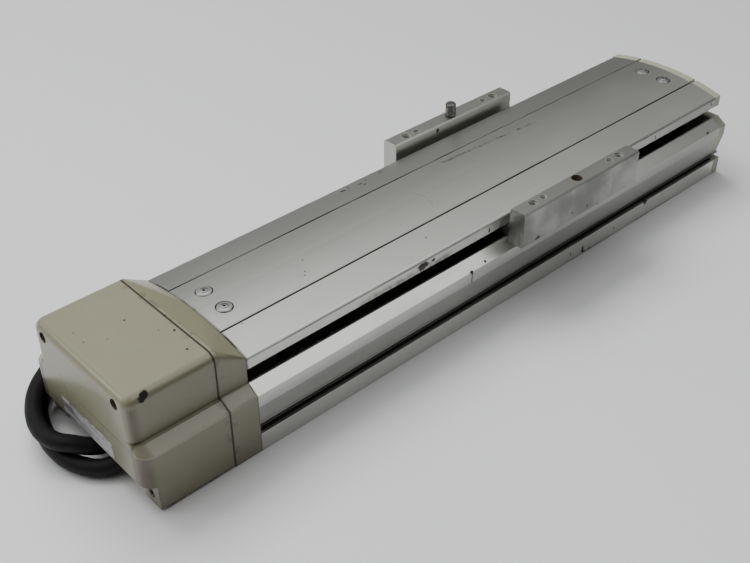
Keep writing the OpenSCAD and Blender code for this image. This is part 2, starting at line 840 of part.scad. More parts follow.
// Section across the screw: a round with the ball track cut into it on one side. The track
// leans with the lead, so in this section it is wider than the ball.
module track_section() {
    lean = atan(screw_lead / (PI * screw_d));
    track_r = 0.54 * ball_d;
    open = asin(track_r / (screw_d / 2)) / sin(lean);
    rim = [for (i = [0 : rim_sides]) let (a = open + (360 - 2 * open) * i / rim_sides)
        [cos(a), sin(a)] * screw_d / 2];
    track = [for (i = [1 : track_steps - 1]) let (u = 2 * i / track_steps - 1, a = open * u)
        [cos(a), sin(a)] * (screw_d / 2 - 0.42 * ball_d * sqrt(1 - u * u))];
    polygon(concat(rim, track));
}

// The screw: a helical ball track between two turned journals that run into its core
module ball_screw() {
    thread_len = rear_bearing_x - thread_x;
    tip = lock_nut_x - slide_gap;
    groove_x = rear_bearing_x + bearing_w;
    groove_len = circlip_t + 2 * circlip_gap;
    color("silver") {
        translate([thread_x, 0, screw_z]) rotate([0, 90, 0])
            linear_extrude(thread_len, twist = -360 * thread_len / screw_lead,
                slices = round(track_slices * thread_len / screw_lead), $fn = track_slices) track_section();
        bar(tip, thread_x + journal_in - tip, journal_d);
        bar(shaft_end, tip + journal_in - shaft_end, shaft_d);
        difference() {
            bar(rear_bearing_x - journal_in, journal_end - rear_bearing_x + journal_in, journal_d);
            difference() {
                bar(groove_x, groove_len, journal_d + 2);
                bar(groove_x - cut, groove_len + 2 * cut, journal_d - 2 * circlip_depth);
            }
        }
    }
}

// Flanged nut with flats on the flange, and wipers at both ends
module ball_nut() {
    color([0.45, 0.46, 0.48]) difference() {
        union() {
            intersection() {
                bar(nut_x, nut_flange_t, nut_flange_d);
                block([nut_x - cut, -nut_flange_d, screw_z - nut_flange_h / 2],
                    [nut_x + nut_flange_t + cut, nut_flange_d, screw_z + nut_flange_h / 2]);
            }
            bar(nut_x, nut_len, nut_d);
        }
        bar(nut_x - cut, nut_len + 2 * cut, nut_bore);
        nut_screw_places() bar(nut_x - cut, nut_flange_t + 2 * cut, nut_bolt + bolt_play, 0, 0);
    }
}

module nut_screw_places() {
    for (side = [-1, 1], up = [-1, 1]) translate([0, side * nut_pcd / 2 * cos(nut_bolt_angle),
        screw_z + up * nut_pcd / 2 * sin(nut_bolt_angle)]) children();
}

module nut_screws() {
    color("dimgray") nut_screw_places() translate([nut_x - nut_head_h, 0, 0])
        cap_screw_x(nut_head_d, nut_head_h, nut_bolt, nut_flange_t + nut_bolt_grip - 1);
}

module bearing_block_screws() {
    shank = shelf_top - block_bolt_head_h + block_bolt_grip - 3;
    color("dimgray") block_bolt_places() translate([0, 0, block_bolt_sink]) mirror([0, 0, 1])
        cap_screw(block_bolt_head_d, block_bolt_head_h, block_bolt, shank);
}

module stop_bumpers() {
    color("darkorange") {
        bumper_places() bar(front_block_x + bearing_block_len, bumper_t, bumper_d, 0, 0);
        bumper_places() bar(rear_block_x - bumper_t, bumper_t, bumper_d, 0, 0);
    }
}

// ---- guides ----

module rail_section() {
    difference() {
        translate([-rail_w / 2, 0]) square([rail_w, rail_h]);
        for (side = [-1, 1]) translate([side * (rail_w / 2 + rail_groove_out), rail_h * 0.6])
            circle(d = rail_groove_d, $fn = 32);
    }
}

module guide_rails() {
    color("gainsboro") difference() {
        for (side = [-1, 1]) translate([0, side * rail_y, shelf_top])
            along_x(rail_start, rail_end - rail_start) rail_section();
        rail_screw_places() {
            translate([0, 0, shelf_top - cut]) cylinder(h = rail_h + 2 * cut, d = rail_bolt + bolt_play);
            translate([0, 0, shelf_top + rail_h - rail_head_h - bolt_play])
                cylinder(h = rail_h, d = rail_head_d + bolt_play);
        }
    }
}

module rail_screws() {
    color("dimgray") rail_screw_places() translate([0, 0, shelf_top + rail_h - rail_screw_sink])
        cap_screw(rail_head_d, rail_head_h - 0.1, rail_bolt, rail_h - rail_head_h + rail_bolt_depth - 2);
}

// Section of a guide block: it straddles the rail
module block_section(side_inset, top_inset) {
    half = block_w / 2 - side_inset;
    gap = rail_w / 2 + slide_gap;
    difference() {
        translate([-half, block_skirt]) square([2 * half, block_h - top_inset - block_skirt]);
        translate([-gap, 0]) square([2 * gap, rail_h + slide_gap]);
    }
}

module block_places() {
    for (x = [-1, 1], side = [-1, 1])
        translate([slider_x + x * block_x, side * rail_y, shelf_top]) children();
}

module block_screw_places() {
    for (x = [-1, 1], side = [-1, 1])
        translate([x * saddle_bolt_x, side * saddle_bolt_y, block_h]) children();
}

module guide_blocks() {
    body = block_len - 2 * seal_t;
    color([0.55, 0.57, 0.6]) block_places() difference() {
        along_x(-body / 2, body) block_section(0, 0);
        block_screw_places() translate([0, 0, -saddle_bolt_grip]) cylinder(h = saddle_bolt_grip + cut,
            d = saddle_bolt + 2 * fit);
    }
}

module block_seals() {
    color([0.15, 0.3, 0.2]) block_places() for (x = [-block_len / 2, block_len / 2 - seal_t])
        along_x(x, seal_t) block_section(seal_inset, seal_inset);
}

// ---- slider ----

module saddle_section() {
    // Arms that pass through the side slots, over the pads and the middle
    translate([-ear_in - 1, arm_low]) square([2 * ear_in + 2, arm_top - arm_low]);
}

function ear_section() = [[ear_in, ear_low], [ear_in, ear_top - ear_edge], [ear_in + ear_edge, ear_top],
    [ear_out - ear_edge, ear_top], [ear_out, ear_top - ear_edge], [ear_out, ear_low + ear_edge],
    [ear_out - ear_edge, ear_low]];

// Tapped holes and dowel holes along each ear
module ear_holes(y) {
    for (x = [-1, 1]) {
        translate([slider_x + x * big_pitch / 2, y, ear_top - hole_depth])
            cylinder(h = hole_depth + cut, d = big_hole);
        translate([slider_x + x * small_pitch / 2, y, ear_top - hole_depth])
            cylinder(h = hole_depth + cut, d = small_hole);
    }
    translate([slider_x, y, ear_top - dowel_depth]) cylinder(h = dowel_depth + cut, d = dowel_d);
}

module slider() {
    half = slider_len / 2;
    pad_half = rail_y + block_w / 2;
    color([0.8, 0.81, 0.82]) difference() {
        union() {
            along_x(slider_x - half + arm_inset, slider_len - 2 * arm_inset) saddle_section();
            // Pads on the guide blocks and a boss round the ball nut
            along_x(slider_x - saddle_len / 2, saddle_len) {
                translate([-pad_half, block_top]) square([2 * pad_half, arm_top - block_top]);
                translate([-boss_half, boss_low]) square([2 * boss_half, arm_top - boss_low]);
            }
            both_sides() along_x(slider_x - half, slider_len) polygon(ear_section());
        }
        // The saddle stops short of the arms' ends
        for (x = [-slider_len / 2 - cut, saddle_len / 2])
            block([slider_x + x, -saddle_half, 0],
                [slider_x + x + saddle_inset + cut, saddle_half, ear_top]);
        bar(boss_x - cut, saddle_len, nut_d + 2 * fit);
        block([slider_x - saddle_len / 2 - cut, -nut_flange_d / 2 - 1, 0],
            [boss_x, nut_flange_d / 2 + 1, screw_z + nut_flange_h / 2 + 1]);
        nut_screw_places() bar(boss_x - cut, nut_bolt_grip + cut, nut_bolt + 2 * fit, 0, 0);
        // Lightening arch between the guide blocks
        both_sides() block([slider_x - arch_half, boss_half, 0],
            [slider_x + arch_half, pad_half + cut, arch_top]);
        block_places() block_screw_places() {
            translate([0, 0, -cut]) cylinder(h = ear_top, d = saddle_bolt + bolt_play);
            translate([0, 0, arm_top - block_top - saddle_head_h - saddle_screw_sink])
                cylinder(h = ear_top, d = saddle_head_d + 0.5);
        }
        both_sides() ear_holes(hole_y);
    }
}

module saddle_screws() {
    head_z = arm_top - block_top - saddle_screw_sink;
    color("dimgray") block_places() block_screw_places() translate([0, 0, head_z])
        cap_screw(saddle_head_d, saddle_head_h, saddle_bolt,
            head_z - saddle_head_h + saddle_bolt_grip - 1);
}

// Locating pin with a relief groove where it leaves the ear, and a chamfered tip
module dowel_pin() {
    color("lightgray") translate([slider_x, hole_y, ear_top]) {
        translate([0, 0, -dowel_depth]) cylinder(h = dowel_depth - dowel_relief, d = dowel_d);
        translate([0, 0, -dowel_relief]) cylinder(h = 2 * dowel_relief, d = dowel_d - 1);
        translate([0, 0, dowel_relief]) cylinder(h = dowel_stand - dowel_tip - dowel_relief, d = dowel_d);
        translate([0, 0, dowel_stand - dowel_tip])
            cylinder(h = dowel_tip, d1 = dowel_d, d2 = dowel_d - 2 * dowel_tip);
    }
}

module sensor_flag() {
    color("dimgray") {
        block([flag_x - flag_len / 2, -flag_t / 2, floor_t + fork_web + 1],
            [flag_x + flag_len / 2, flag_t / 2, boss_low]);
        block([flag_x - flag_len / 2, -flag_foot / 2, boss_low - flag_foot_t],
            [flag_x + flag_len / 2, flag_foot / 2, boss_low]);
    }
}

// Slotted light barrier on the trough's floor, where the flag arrives at the motor end
module home_sensor() {
    x = flag_x - slider_at;
    color([0.1, 0.1, 0.1]) difference() {
        block([x - fork_len / 2, -fork_half, floor_t],
            [x + fork_len / 2, fork_half, boss_low - fork_gap]);
        block([x - fork_len / 2 - cut, -fork_slot / 2, floor_t + fork_web],
            [x + fork_len / 2 + cut, fork_slot / 2, boss_low]);
    }
}

// ---- covers ----

module cover_screw_places(x) {
    for (side = [-1, 1]) translate([x, side * cover_screw_y, cover_seat_z]) children();
}

module side_cover() {
    color([0.72, 0.73, 0.74]) along_x(x_near, base_len) difference() {
        union() {
            crown_band(0, cover_t + ledge_t, seam_y + seam_gap / 2, cover_half);
            // Ledge under the centre cover
            crown_band(cover_t + seat, cover_t + ledge_t, seam_y - ledge_w, seam_y + seam_gap);
            intersection() {
                translate([0, crown_mid]) circle(r = crown_r, $fn = 180);
                translate([cover_half - lip_t, cover_edge_z - lip_h]) square([lip_t, lip_h + cut]);
            }
        }
        polygon([[cover_half + cut, cover_edge_z - lip_edge - cut], [cover_half + cut, cover_edge_z + cut],
            [cover_half - lip_edge - cut, cover_edge_z + cut]]);
    }
}

module side_cover_left() {
    side_cover();
}

module side_cover_right() {
    mirror([0, 1, 0]) side_cover();
}

module centre_cover() {
    half = seam_y - seam_gap / 2;
    color([0.75, 0.76, 0.77]) difference() {
        along_x(x_near, base_len) crown_band(0, cover_t, -half, half);
        for (x = [x_near + cover_screw_in, x_far - cover_screw_in]) cover_screw_places(x) {
            cylinder(h = crown_rise, d = cover_screw_head + 1.2);
            translate([0, 0, -cover_bolt_len]) cylinder(h = 2 * cover_bolt_len, d = cover_bolt + 0.5);
        }
    }
}

// Low round heads with a hex socket
module cover_screws() {
    color("gainsboro") for (x = [x_near + cover_screw_in, x_far - cover_screw_in]) cover_screw_places(x)
        difference() {
            union() {
                cylinder(h = cover_screw_rim, d = cover_screw_head);
                translate([0, 0, cover_screw_rim])
                    cylinder(h = cover_screw_rise - cover_screw_rim, d1 = cover_screw_head,
                        d2 = 0.6 * cover_screw_head);
                translate([0, 0, -cover_bolt_len]) cylinder(h = cover_bolt_len, d = cover_bolt);
            }
            translate([0, 0, cover_screw_rise - cover_socket_depth])
                cylinder(h = cover_socket_depth + cut, d = cover_socket, $fn = 6);
        }
}

// ---- far end ----

module cap_screw_holes() {
    for (place = cap_screw_at) {
        bar(x_far - cut, cap_t + 2 * cut, cap_bolt + bolt_play, place[0], place[1]);
        bar(x_far + cap_t - cap_head_h - cap_screw_sink, cap_t, cap_head_d + bolt_play,
            place[0], place[1]);
    }
}

// An end cap: a plate with its outer rim bevelled by a smaller slice at the end
module cap_body() {
    hull() {
        along_x(x_far, cap_t - cap_edge) children(0);
        along_x(x_far + cap_t - 0.1, 0.1) children(1);
    }
}

module base_end_cap() {
    right = outside_half(tslot_depth);
    color([0.68, 0.67, 0.58]) difference() {
        along_x(x_far, cap_t) polygon(concat(right, flipped(right)));
        cap_screw_holes();
    }
}

module crown_cap(y1, y2) {
    low = cover_edge_z - lip_h;
    color([0.68, 0.67, 0.58]) difference() {
        cap_body() {
            intersection() {
                crown_fill(0, cover_half, low);
                translate([y1, 0]) square([y2 - y1, crown_z + cut]);
            }
            intersection() {
                crown_fill(cap_edge, cover_half - cap_edge, low + cap_edge);
                translate([y1, 0]) square([y2 - y1, crown_z + cut]);
            }
        }
        cap_screw_holes();
    }
}

module end_cap_left() {
    crown_cap(seam_y + notch_half, cover_half + cut);
}

module end_cap_right() {
    crown_cap(-cover_half - cut, -seam_y - notch_half);
}

module end_cap_centre() {
    crown_cap(-seam_y + notch_half, seam_y - notch_half);
}

module end_cap_screws() {
    shank = cap_t - cap_screw_sink - cap_head_h + cap_bolt_grip - 1;
    color("gray") for (place = cap_screw_at)
        translate([x_far + cap_t - cap_screw_sink, place[0], place[1]])
            rotate([0, 90, 0]) cap_screw(cap_head_d, cap_head_h, cap_bolt, shank);
}

// ---- cables ----

function unit(v) = v / norm(v);

// Rings of a tube that follows a route
function tube_rings(route, r) = [for (i = [0 : len(route) - 1])
    let (ahead = unit(route[min(i + 1, len(route) - 1)] - route[max(i - 1, 0)]),
        side = unit(cross([0, 0, 1], ahead)), up = cross(ahead, side))
    for (k = [0 : cable_sides - 1]) route[i] + r * (cos(360 * (k + 0.5) / cable_sides) * side
        + sin(360 * (k + 0.5) / cable_sides) * up)];

module tube(route, r) {
    n = cable_sides;
    last = (len(route) - 1) * n;
    polyhedron(tube_rings(route, r), concat(
        [[for (k = [0 : n - 1]) k]], [[for (k = [n - 1 : -1 : 0]) last + k]],
        [for (i = [0 : len(route) - 2], k = [0 : n - 1])
            [i * n + k, (i + 1) * n + k, (i + 1) * n + (k + 1) % n, i * n + (k + 1) % n]]));
}

module cable_grommet() {
    color([0.08, 0.08, 0.08]) difference() {
        union() {
            along_x(grommet_x, grommet_out + motor_cover_t) grommet_shape(grommet_wall);
            along_x(x_front + undercut_x + motor_cover_t, grommet_lip)
                grommet_shape(grommet_wall + grommet_edge);
        }
        block([grommet_x - cut, -base_half, -base_half], [x_bracket, base_half, ground_gap]);
        block([x_front + undercut_x + motor_cover_t, -base_half, -base_half],
            [x_bracket, base_half, ground_gap + motor_cover_t]);
    }
}

module motor_cable() {
    color([0.08, 0.08, 0.09]) tube(motor_cable_route, cable_r);
}

module encoder_cable() {
    color([0.08, 0.08, 0.09]) tube(encoder_cable_route, cable_r);
}

// A rectangular plug with a collar at the cable and a field of contact holes in its face
module plug(end, w, columns, rows) {
    half = w / 2;
    top = end[2] - plug_rise;
    color([0.85, 0.85, 0.82]) translate(end) difference() {
        union() {
            block([0, -half + plug_collar_in, -top + plug_edge],
                [plug_collar, half - plug_collar_in, top - plug_edge]);
            block([plug_collar, -half, -top], [plug_len, half, top - plug_top_edge]);
            block([plug_collar + plug_latch_end, -plug_latch_w / 2, top - plug_edge],
                [plug_len - contact_depth, plug_latch_w / 2, top]);
        }
        for (i = [0 : columns - 1], j = [0 : rows - 1])
            translate([plug_len - contact_depth, (i - (columns - 1) / 2) * contact_pitch,
                (j - (rows - 1) / 2) * contact_pitch - plug_top_edge / 2])
                rotate([0, 90, 0]) cylinder(h = contact_depth + cut, d = contact_d);
    }
}

module motor_connector() {
    plug(motor_cable_route[len(motor_cable_route) - 1], motor_plug_w, 2, 2);
}

module encoder_connector() {
    plug(encoder_cable_route[len(encoder_cable_route) - 1], encoder_plug_w, 3, 2);
}

channel();
motor_bracket();
motor_cover();
motor_cover_screws();
motor_housing();
motor_rotor();
motor_encoder();
motor_screws();
shaft_coupling();
front_bearing_block();
front_bearings();
bearing_lock_nut();
ball_screw();
ball_nut();
nut_screws();
rear_bearing_block();
rear_bearing();
screw_circlip();
bearing_block_screws();
stop_bumpers();
guide_rails();
rail_screws();
guide_blocks();
block_seals();
slider();
saddle_screws();
dowel_pin();
sensor_flag();
home_sensor();
side_cover_left();
side_cover_right();
centre_cover();
cover_screws();
base_end_cap();
end_cap_left();
end_cap_centre();
end_cap_right();
end_cap_screws();
cable_grommet();
motor_cable();
encoder_cable();
motor_connector();
encoder_connector();
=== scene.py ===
# %% [markdown]
# # A ball screw linear module
#
# A slider rides on two rails in an aluminium channel. A ball screw under the crowned
# covers pushes it along, and a servo motor in the housing at the near end turns the
# screw. The solids are loaded from CAD as a fixed frame, in metres. Blender adds what
# makes them look real: softened edges, threads, screws, the two leads, and the finishes.

# %% Load the frame
import json
import math

import bmesh
import bpy
from mathutils import Matrix, Vector


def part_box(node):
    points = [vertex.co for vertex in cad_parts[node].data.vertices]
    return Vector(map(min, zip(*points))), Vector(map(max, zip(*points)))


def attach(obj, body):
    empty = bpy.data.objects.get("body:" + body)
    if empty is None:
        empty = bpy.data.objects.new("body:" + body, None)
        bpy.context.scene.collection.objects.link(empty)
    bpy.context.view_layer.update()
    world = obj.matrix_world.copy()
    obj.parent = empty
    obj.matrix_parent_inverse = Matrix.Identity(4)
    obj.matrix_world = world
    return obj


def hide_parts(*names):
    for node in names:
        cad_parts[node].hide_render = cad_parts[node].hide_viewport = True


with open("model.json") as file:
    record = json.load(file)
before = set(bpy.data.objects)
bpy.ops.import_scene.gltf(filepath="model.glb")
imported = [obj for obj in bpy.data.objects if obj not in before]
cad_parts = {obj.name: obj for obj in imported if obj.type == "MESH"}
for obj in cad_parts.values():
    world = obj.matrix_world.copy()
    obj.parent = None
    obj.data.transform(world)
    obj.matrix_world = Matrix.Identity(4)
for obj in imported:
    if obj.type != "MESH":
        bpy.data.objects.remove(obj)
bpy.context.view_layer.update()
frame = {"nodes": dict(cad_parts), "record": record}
mm = 0.001
full_turn = 2 * math.pi

# %% [markdown]
# ## The camera
#
# It looks down along the module from above the motor end.

# %% Camera
camera_place = Vector((-469.1, -457.1, 483.8)) * mm
camera_look = Vector((0.539, 0.5907, -0.6004))
camera_roll = -0.003

camera_data = bpy.data.cameras.new("camera")
camera_data.lens = 53.62
camera_data.sensor_width = 36.0
camera = bpy.data.objects.new("camera", camera_data)
bpy.context.scene.collection.objects.link(camera)
turn = camera_look.to_track_quat("-Z", "Y").to_matrix().to_4x4()
camera.matrix_world = Matrix.Translation(camera_place) @ turn @ Matrix.Rotation(camera_roll, 4, "Z")
bpy.context.scene.camera = camera
print("camera at", [round(v, 3) for v in camera_place])

# %% [markdown]
# ## The two leads
#
# Black leads leave a rubber grommet low in the housing's front, fall to the floor, go
# round the corner one on top of the other and lie straight behind the module, where
# each ends in its plug. A lead is one smooth curve with a round section. Its points
# were chosen in millimetres, so that no bend is tighter than such a lead takes.

# %% Leads
lead_d = 11 * mm
motor_route = [
    (-267.3, -2, 11), (-269.5, -2, 11), (-274.5, -1.5, 12.6), (-280.5, 0.5, 15),
    (-287, 5, 17.8), (-292.5, 12, 18.2), (-295, 21, 18.2), (-294.5, 31, 18), (-291.5, 41, 18),
    (-286.5, 50.5, 18), (-279.5, 60, 18), (-270.5, 68, 18), (-259, 76, 17), (-245, 81.5, 14),
    (-228, 84, 10), (-208, 85, 7), (-185, 85, 6.2), (-155, 85, 6.2), (-125, 85, 6.2),
    (-95, 85, 6.2), (-65, 85, 6.2), (-35, 85, 6.2), (-5, 85, 6.2), (25, 85, 6.2), (50, 85, 6.2),
]
encoder_route = [
    (-267.3, -18, 9), (-269.5, -18, 9), (-274.5, -16, 7.4), (-280.5, -12, 6.2),
    (-286.5, -4.5, 6.2), (-290.5, 5, 6.2), (-292, 16, 6.2), (-291.5, 27, 6.2), (-289, 38, 6.2),
    (-285.5, 49, 6.2), (-280, 59.5, 6.2), (-271.5, 68, 6.2), (-258.5, 71.5, 6.2),
    (-240, 71.5, 6.2), (-210, 71.5, 6.2), (-180, 71.5, 6.2), (-150, 71.5, 6.2),
    (-120, 71.5, 6.2), (-90, 71.5, 6.2), (-60, 71.5, 6.2), (-30, 71.5, 6.2),
]


def link(piece):
    """Puts a new object into the scene."""
    bpy.context.scene.collection.objects.link(piece)
    return piece


def lead(name, route):
    """A round lead along a route, as a curve of one open spline."""
    curve = bpy.data.curves.new(name, "CURVE")
    curve.dimensions = "3D"
    curve.bevel_depth = 1.0
    curve.bevel_resolution = 6
    curve.resolution_u = 6
    curve.use_fill_caps = True
    spline = curve.splines.new("BEZIER")
    spline.bezier_points.add(len(route) - 1)
    for point, place in zip(spline.bezier_points, route):
        point.co = Vector(place) * mm
        point.handle_left_type = "AUTO"
        point.handle_right_type = "AUTO"
        point.radius = lead_d / 2
    return link(bpy.data.objects.new(name, curve))


leads = {}
for lead_name, route, node, plug in (
    ("motor_lead", motor_route, "motor_cable", "motor_connector"),
    ("encoder_lead", encoder_route, "encoder_cable", "encoder_connector"),
):
    piece = lead(lead_name, route)
    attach(piece, "frame")
    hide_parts(node)
    length = round(sum((Vector(b) - Vector(a)).length for a, b in zip(route, route[1:])) * mm, 3)
    leads[lead_name] = piece
    print(lead_name, "length", length, "m")

# %% [markdown]
# ## A short way to write node trees
#
# Materials and Geometry Nodes are both trees of nodes. A `Wire` stands for one value in
# such a tree, and Python's own operators on it add the Math nodes, so a formula in the
# script reads like a formula. `make` adds any other node, and `most` and `distance` are two
# formulas that come back often.

# %% Wires
class Wire:
    """A value in a node tree. Python's operators on it add Math nodes."""

    def __init__(self, tree, socket):
        self.tree = tree
        self.socket = socket

    def math(self, operation, *values):
        return make(self.tree, "ShaderNodeMath", [self, *values], operation=operation)

    def __add__(self, other):
        return self.math("ADD", other)

    __radd__ = __add__

    def __mul__(self, other):
        return self.math("MULTIPLY", other)

    __rmul__ = __mul__

    def __sub__(self, other):
        return self.math("SUBTRACT", other)

    def __rsub__(self, other):
        return make(self.tree, "ShaderNodeMath", [other, self], operation="SUBTRACT")

    def __truediv__(self, other):
        return self.math("DIVIDE", other)

    def __pow__(self, other):
        return self.math("POWER", other)

    def __abs__(self):
        return self.math("ABSOLUTE")


def make(tree, kind, values=(), output=0, **settings):
    """Adds a node with the values or links of its sockets, and its settings."""
    node = tree.nodes.new(kind)
    for name, value in settings.items():
        if name == "stops":
            ramp = node.color_ramp
            for _ in value[2:]:
                ramp.elements.new(0.5)
            for element, (position, colour) in zip(ramp.elements, value):
                element.position = position
                element.color = colour
        else:
            setattr(node, name, value)
    pairs = values.items() if isinstance(values, dict) else enumerate(values)
    for socket, value in pairs:
        many = isinstance(value, list) and isinstance(value[0], Wire)
        for single in value if many else [value]:
            if isinstance(single, Wire):
                tree.links.new(single.socket, node.inputs[socket])
            else:
                node.inputs[socket].default_value = single
    return Wire(tree, node.outputs[output])


class Tree:
    """A node tree in the making."""

    def node(self, kind, values=(), output=0, **settings):
        return make(self.tree, kind, values, output, **settings)

    def vector_math(self, operation, values, output=0):
        return self.node("ShaderNodeVectorMath", values, output, operation=operation)

    def parts(self, vector):
        """The X, Y and Z of a vector."""
        return [self.node("ShaderNodeSeparateXYZ", [vector], i) for i in range(3)]


def most(*masks):
    """The highest of several masks."""
    highest = masks[0]
    for mask in masks[1:]:
        highest = highest.math("MAXIMUM", mask)
    return highest


def distance(across, along):
    """How far a place is from a point, given how far it is on two axes."""
    return (across * across + along * along) ** 0.5


smooth = {"interpolation_type": "SMOOTHSTEP", "clamp": True}
print("wires ready")

# %% [markdown]
# ## Finishes
#
# A finish is a Principled shader whose colour, roughness and bump are formulas of the
# place on the object, so dirt and wear can be put where they belong. `Finish` gives those
# formulas short names, such as `noise`, `step`, `mix` and `spots`.

# %% The finish class
class Finish(Tree):
    """A material in the making: a Principled shader, and short names for what feeds it."""

    def __init__(self, name, roughness, metallic=0.0, **uniform):
        self.material = bpy.data.materials.new(name)
        self.material.use_nodes = True
        self.tree = self.material.node_tree
        self.shader = self.tree.nodes["Principled BSDF"]
        self.shader.inputs["Roughness"].default_value = roughness
        self.shader.inputs["Metallic"].default_value = metallic
        for socket, value in uniform.items():
            self.shader.inputs[socket.replace("_", " ")].default_value = value
        self.place = self.node("ShaderNodeTexCoord", output=3)  # on the object

    def axes(self):
        """The three coordinates of the place on the object, in millimetres."""
        return [part / mm for part in self.parts(self.place)]

    def noise(self, scale, detail, stretch=(1, 1, 1), turn=(0, 0, 0)):
        values = {"Vector": self.place, "Rotation": turn, "Scale": stretch}
        place = self.node("ShaderNodeMapping", values)
        return self.node("ShaderNodeTexNoise", {"Vector": place, "Scale": scale, "Detail": detail})

    def step(self, value, low, high):
        """0 below low, 1 above high, and smooth between."""
        return self.node("ShaderNodeMapRange", {0: value, 1: low, 2: high}, **smooth)

    def near(self, value, centre, reach, soft):
        """1 within a reach of the centre, and 0 beyond reach plus soft."""
        return 1 - self.step(abs(value - centre), reach, reach + soft)

    def mix(self, factor, first, second):
        """A colour between two colours."""
        return self.node("ShaderNodeMix", {0: factor, 6: first, 7: second}, 2, data_type="RGBA")

    def spot(self, centre, size, ragged):
        """1 within an uneven spot: its centre and half-sizes are in millimetres."""
        offset = self.vector_math("SUBTRACT", [self.place, [c * mm for c in centre]])
        scaled = self.vector_math("DIVIDE", [offset, [s * mm for s in size]])
        reach = self.vector_math("LENGTH", [scaled], 1)
        return 1 - self.step(reach + (self.ragged_noise() - 0.5) * ragged * 4, 0.85, 1.1)

    def ragged_noise(self):
        """The noise that all ragged edges share, made once."""
        if not hasattr(self, "ragged"):
            self.ragged = self.noise(450.0, 2.0)
        return self.ragged

    def spots(self, places, ragged=0.35):
        """1 within any of several spots: x, y, z and three half-sizes."""
        return most(*[self.spot(place[:3], place[3:], ragged) for place in places])

    def feed(self, socket, value):
        """Links a formula to a socket of the shader."""
        self.tree.links.new(value.socket, self.shader.inputs[socket])

    def bump(self, height, distance):
        """Raises the surface by a height of 0 to 1 times a distance in metres."""
        self.feed("Normal", self.node("ShaderNodeBump", {"Distance": distance, "Height": height}))


def rgb(red, green, blue):
    """A colour from three linear values."""
    return (red, green, blue, 1.0)


def grey(level):
    """A neutral colour."""
    return rgb(level, level, level)


def warm(level):
    """The faintly green grey of satin aluminium."""
    return rgb(level, level * 1.005, level * 0.95)


soot = rgb(0.014, 0.013, 0.011)
print("finish class ready")

# %% [markdown]
# ## Floor and light
#
# A pale floor, painted darker away from the camera as painted shade, and soft studio light.
# Satin aluminium looks like what it mirrors, so the sky is a gradient: bright overhead,
# darker towards the horizon, and darker still on the camera's side. The far end of the
# covers mirrors the lower sky, so they darken slowly along their length. The ceiling panel
# lights the scene but is not mirrored. The window draws highlights along the housing's
# rounded edges, and a white card is there only to be mirrored: it brightens the channel's
# chamfer.

# %% Floor, sky and lamps
floor_half = 8.0
floor_z = -0.2 * mm
floor_mesh = bpy.data.meshes.new("floor")
corners = [(x * floor_half, y * floor_half, floor_z)
           for x, y in ((-1, -1), (1, -1), (1, 1), (-1, 1))]
floor_mesh.from_pydata(corners, [], [(0, 1, 2, 3)])
floor = link(bpy.data.objects.new("floor", floor_mesh))
floor_finish = Finish("pale_floor", 0.5)
floor_x, floor_y = floor_finish.axes()[:2]
uneven = (floor_finish.noise(1.5, 3.0) - 0.5) * 200
# Painted shade: the floor's colour darkens away from the camera, in place of light falling off.
far_floor_shade = floor_finish.step(floor_x * 0.67 + floor_y * 0.74 + uneven, -450, 900)
pale, shaded_pale = rgb(0.93, 0.935, 0.945), rgb(0.70, 0.705, 0.71)
floor_finish.feed("Base Color", floor_finish.mix(far_floor_shade, pale, shaded_pale))
floor.data.materials.append(floor_finish.material)

sky = bpy.data.worlds.new("studio")
bpy.context.scene.world = sky
sky.use_nodes = True
sky_tree = sky.node_tree
direction = make(sky_tree, "ShaderNodeTexCoord")
toward_x, toward_y, up = (make(sky_tree, "ShaderNodeSeparateXYZ", [direction], i) for i in range(3))
sky_levels = {0.0: 0.20, 0.25: 0.22, 0.48: 0.48, 0.64: 0.74, 0.84: 2.0, 1.0: 1.9}
sky_stops = [(height, grey(level)) for height, level in sky_levels.items()]
sky_colour = make(sky_tree, "ShaderNodeValToRGB", [up], stops=sky_stops)
near_side, far_end = (
    make(sky_tree, "ShaderNodeMapRange", dict(enumerate(values)), **smooth)
    for values in ((toward_y, -0.6, 0.3, 0.12, 1.0), (toward_x, 0.35, 0.82, 1.0, 0.25)))
values = {0: sky_colour, 3: near_side * far_end}
shaded = make(sky_tree, "ShaderNodeVectorMath", values, operation="SCALE")
background = sky_tree.nodes["Background"]
sky_tree.links.new(shaded.socket, background.inputs["Color"])
background.inputs["Strength"].default_value = 0.85


def lamp(name, place, size, power, lights=True, mirrored=True):
    """A soft lamp that looks at the module: metres and watts."""
    data = bpy.data.lights.new(name, "AREA")
    data.shape = "RECTANGLE"
    data.size, data.size_y = size
    data.energy = power
    piece = link(bpy.data.objects.new(name, data))
    turn = (-Vector(place)).to_track_quat("-Z", "Y").to_matrix().to_4x4()
    piece.matrix_world = Matrix.Translation(place) @ turn
    piece.visible_diffuse = lights
    piece.visible_glossy = mirrored


lamp("ceiling_panel", (0.0, 1.1, 1.75), (1.6, 0.9), 28, mirrored=False)
lamp("window", (-1.6, 1.3, 1.1), (0.6, 0.6), 5)
lamp("white_card", (0.8, -0.8, 1.6), (1.4, 1.1), 7, lights=False)
print("floor, sky and three lamps")
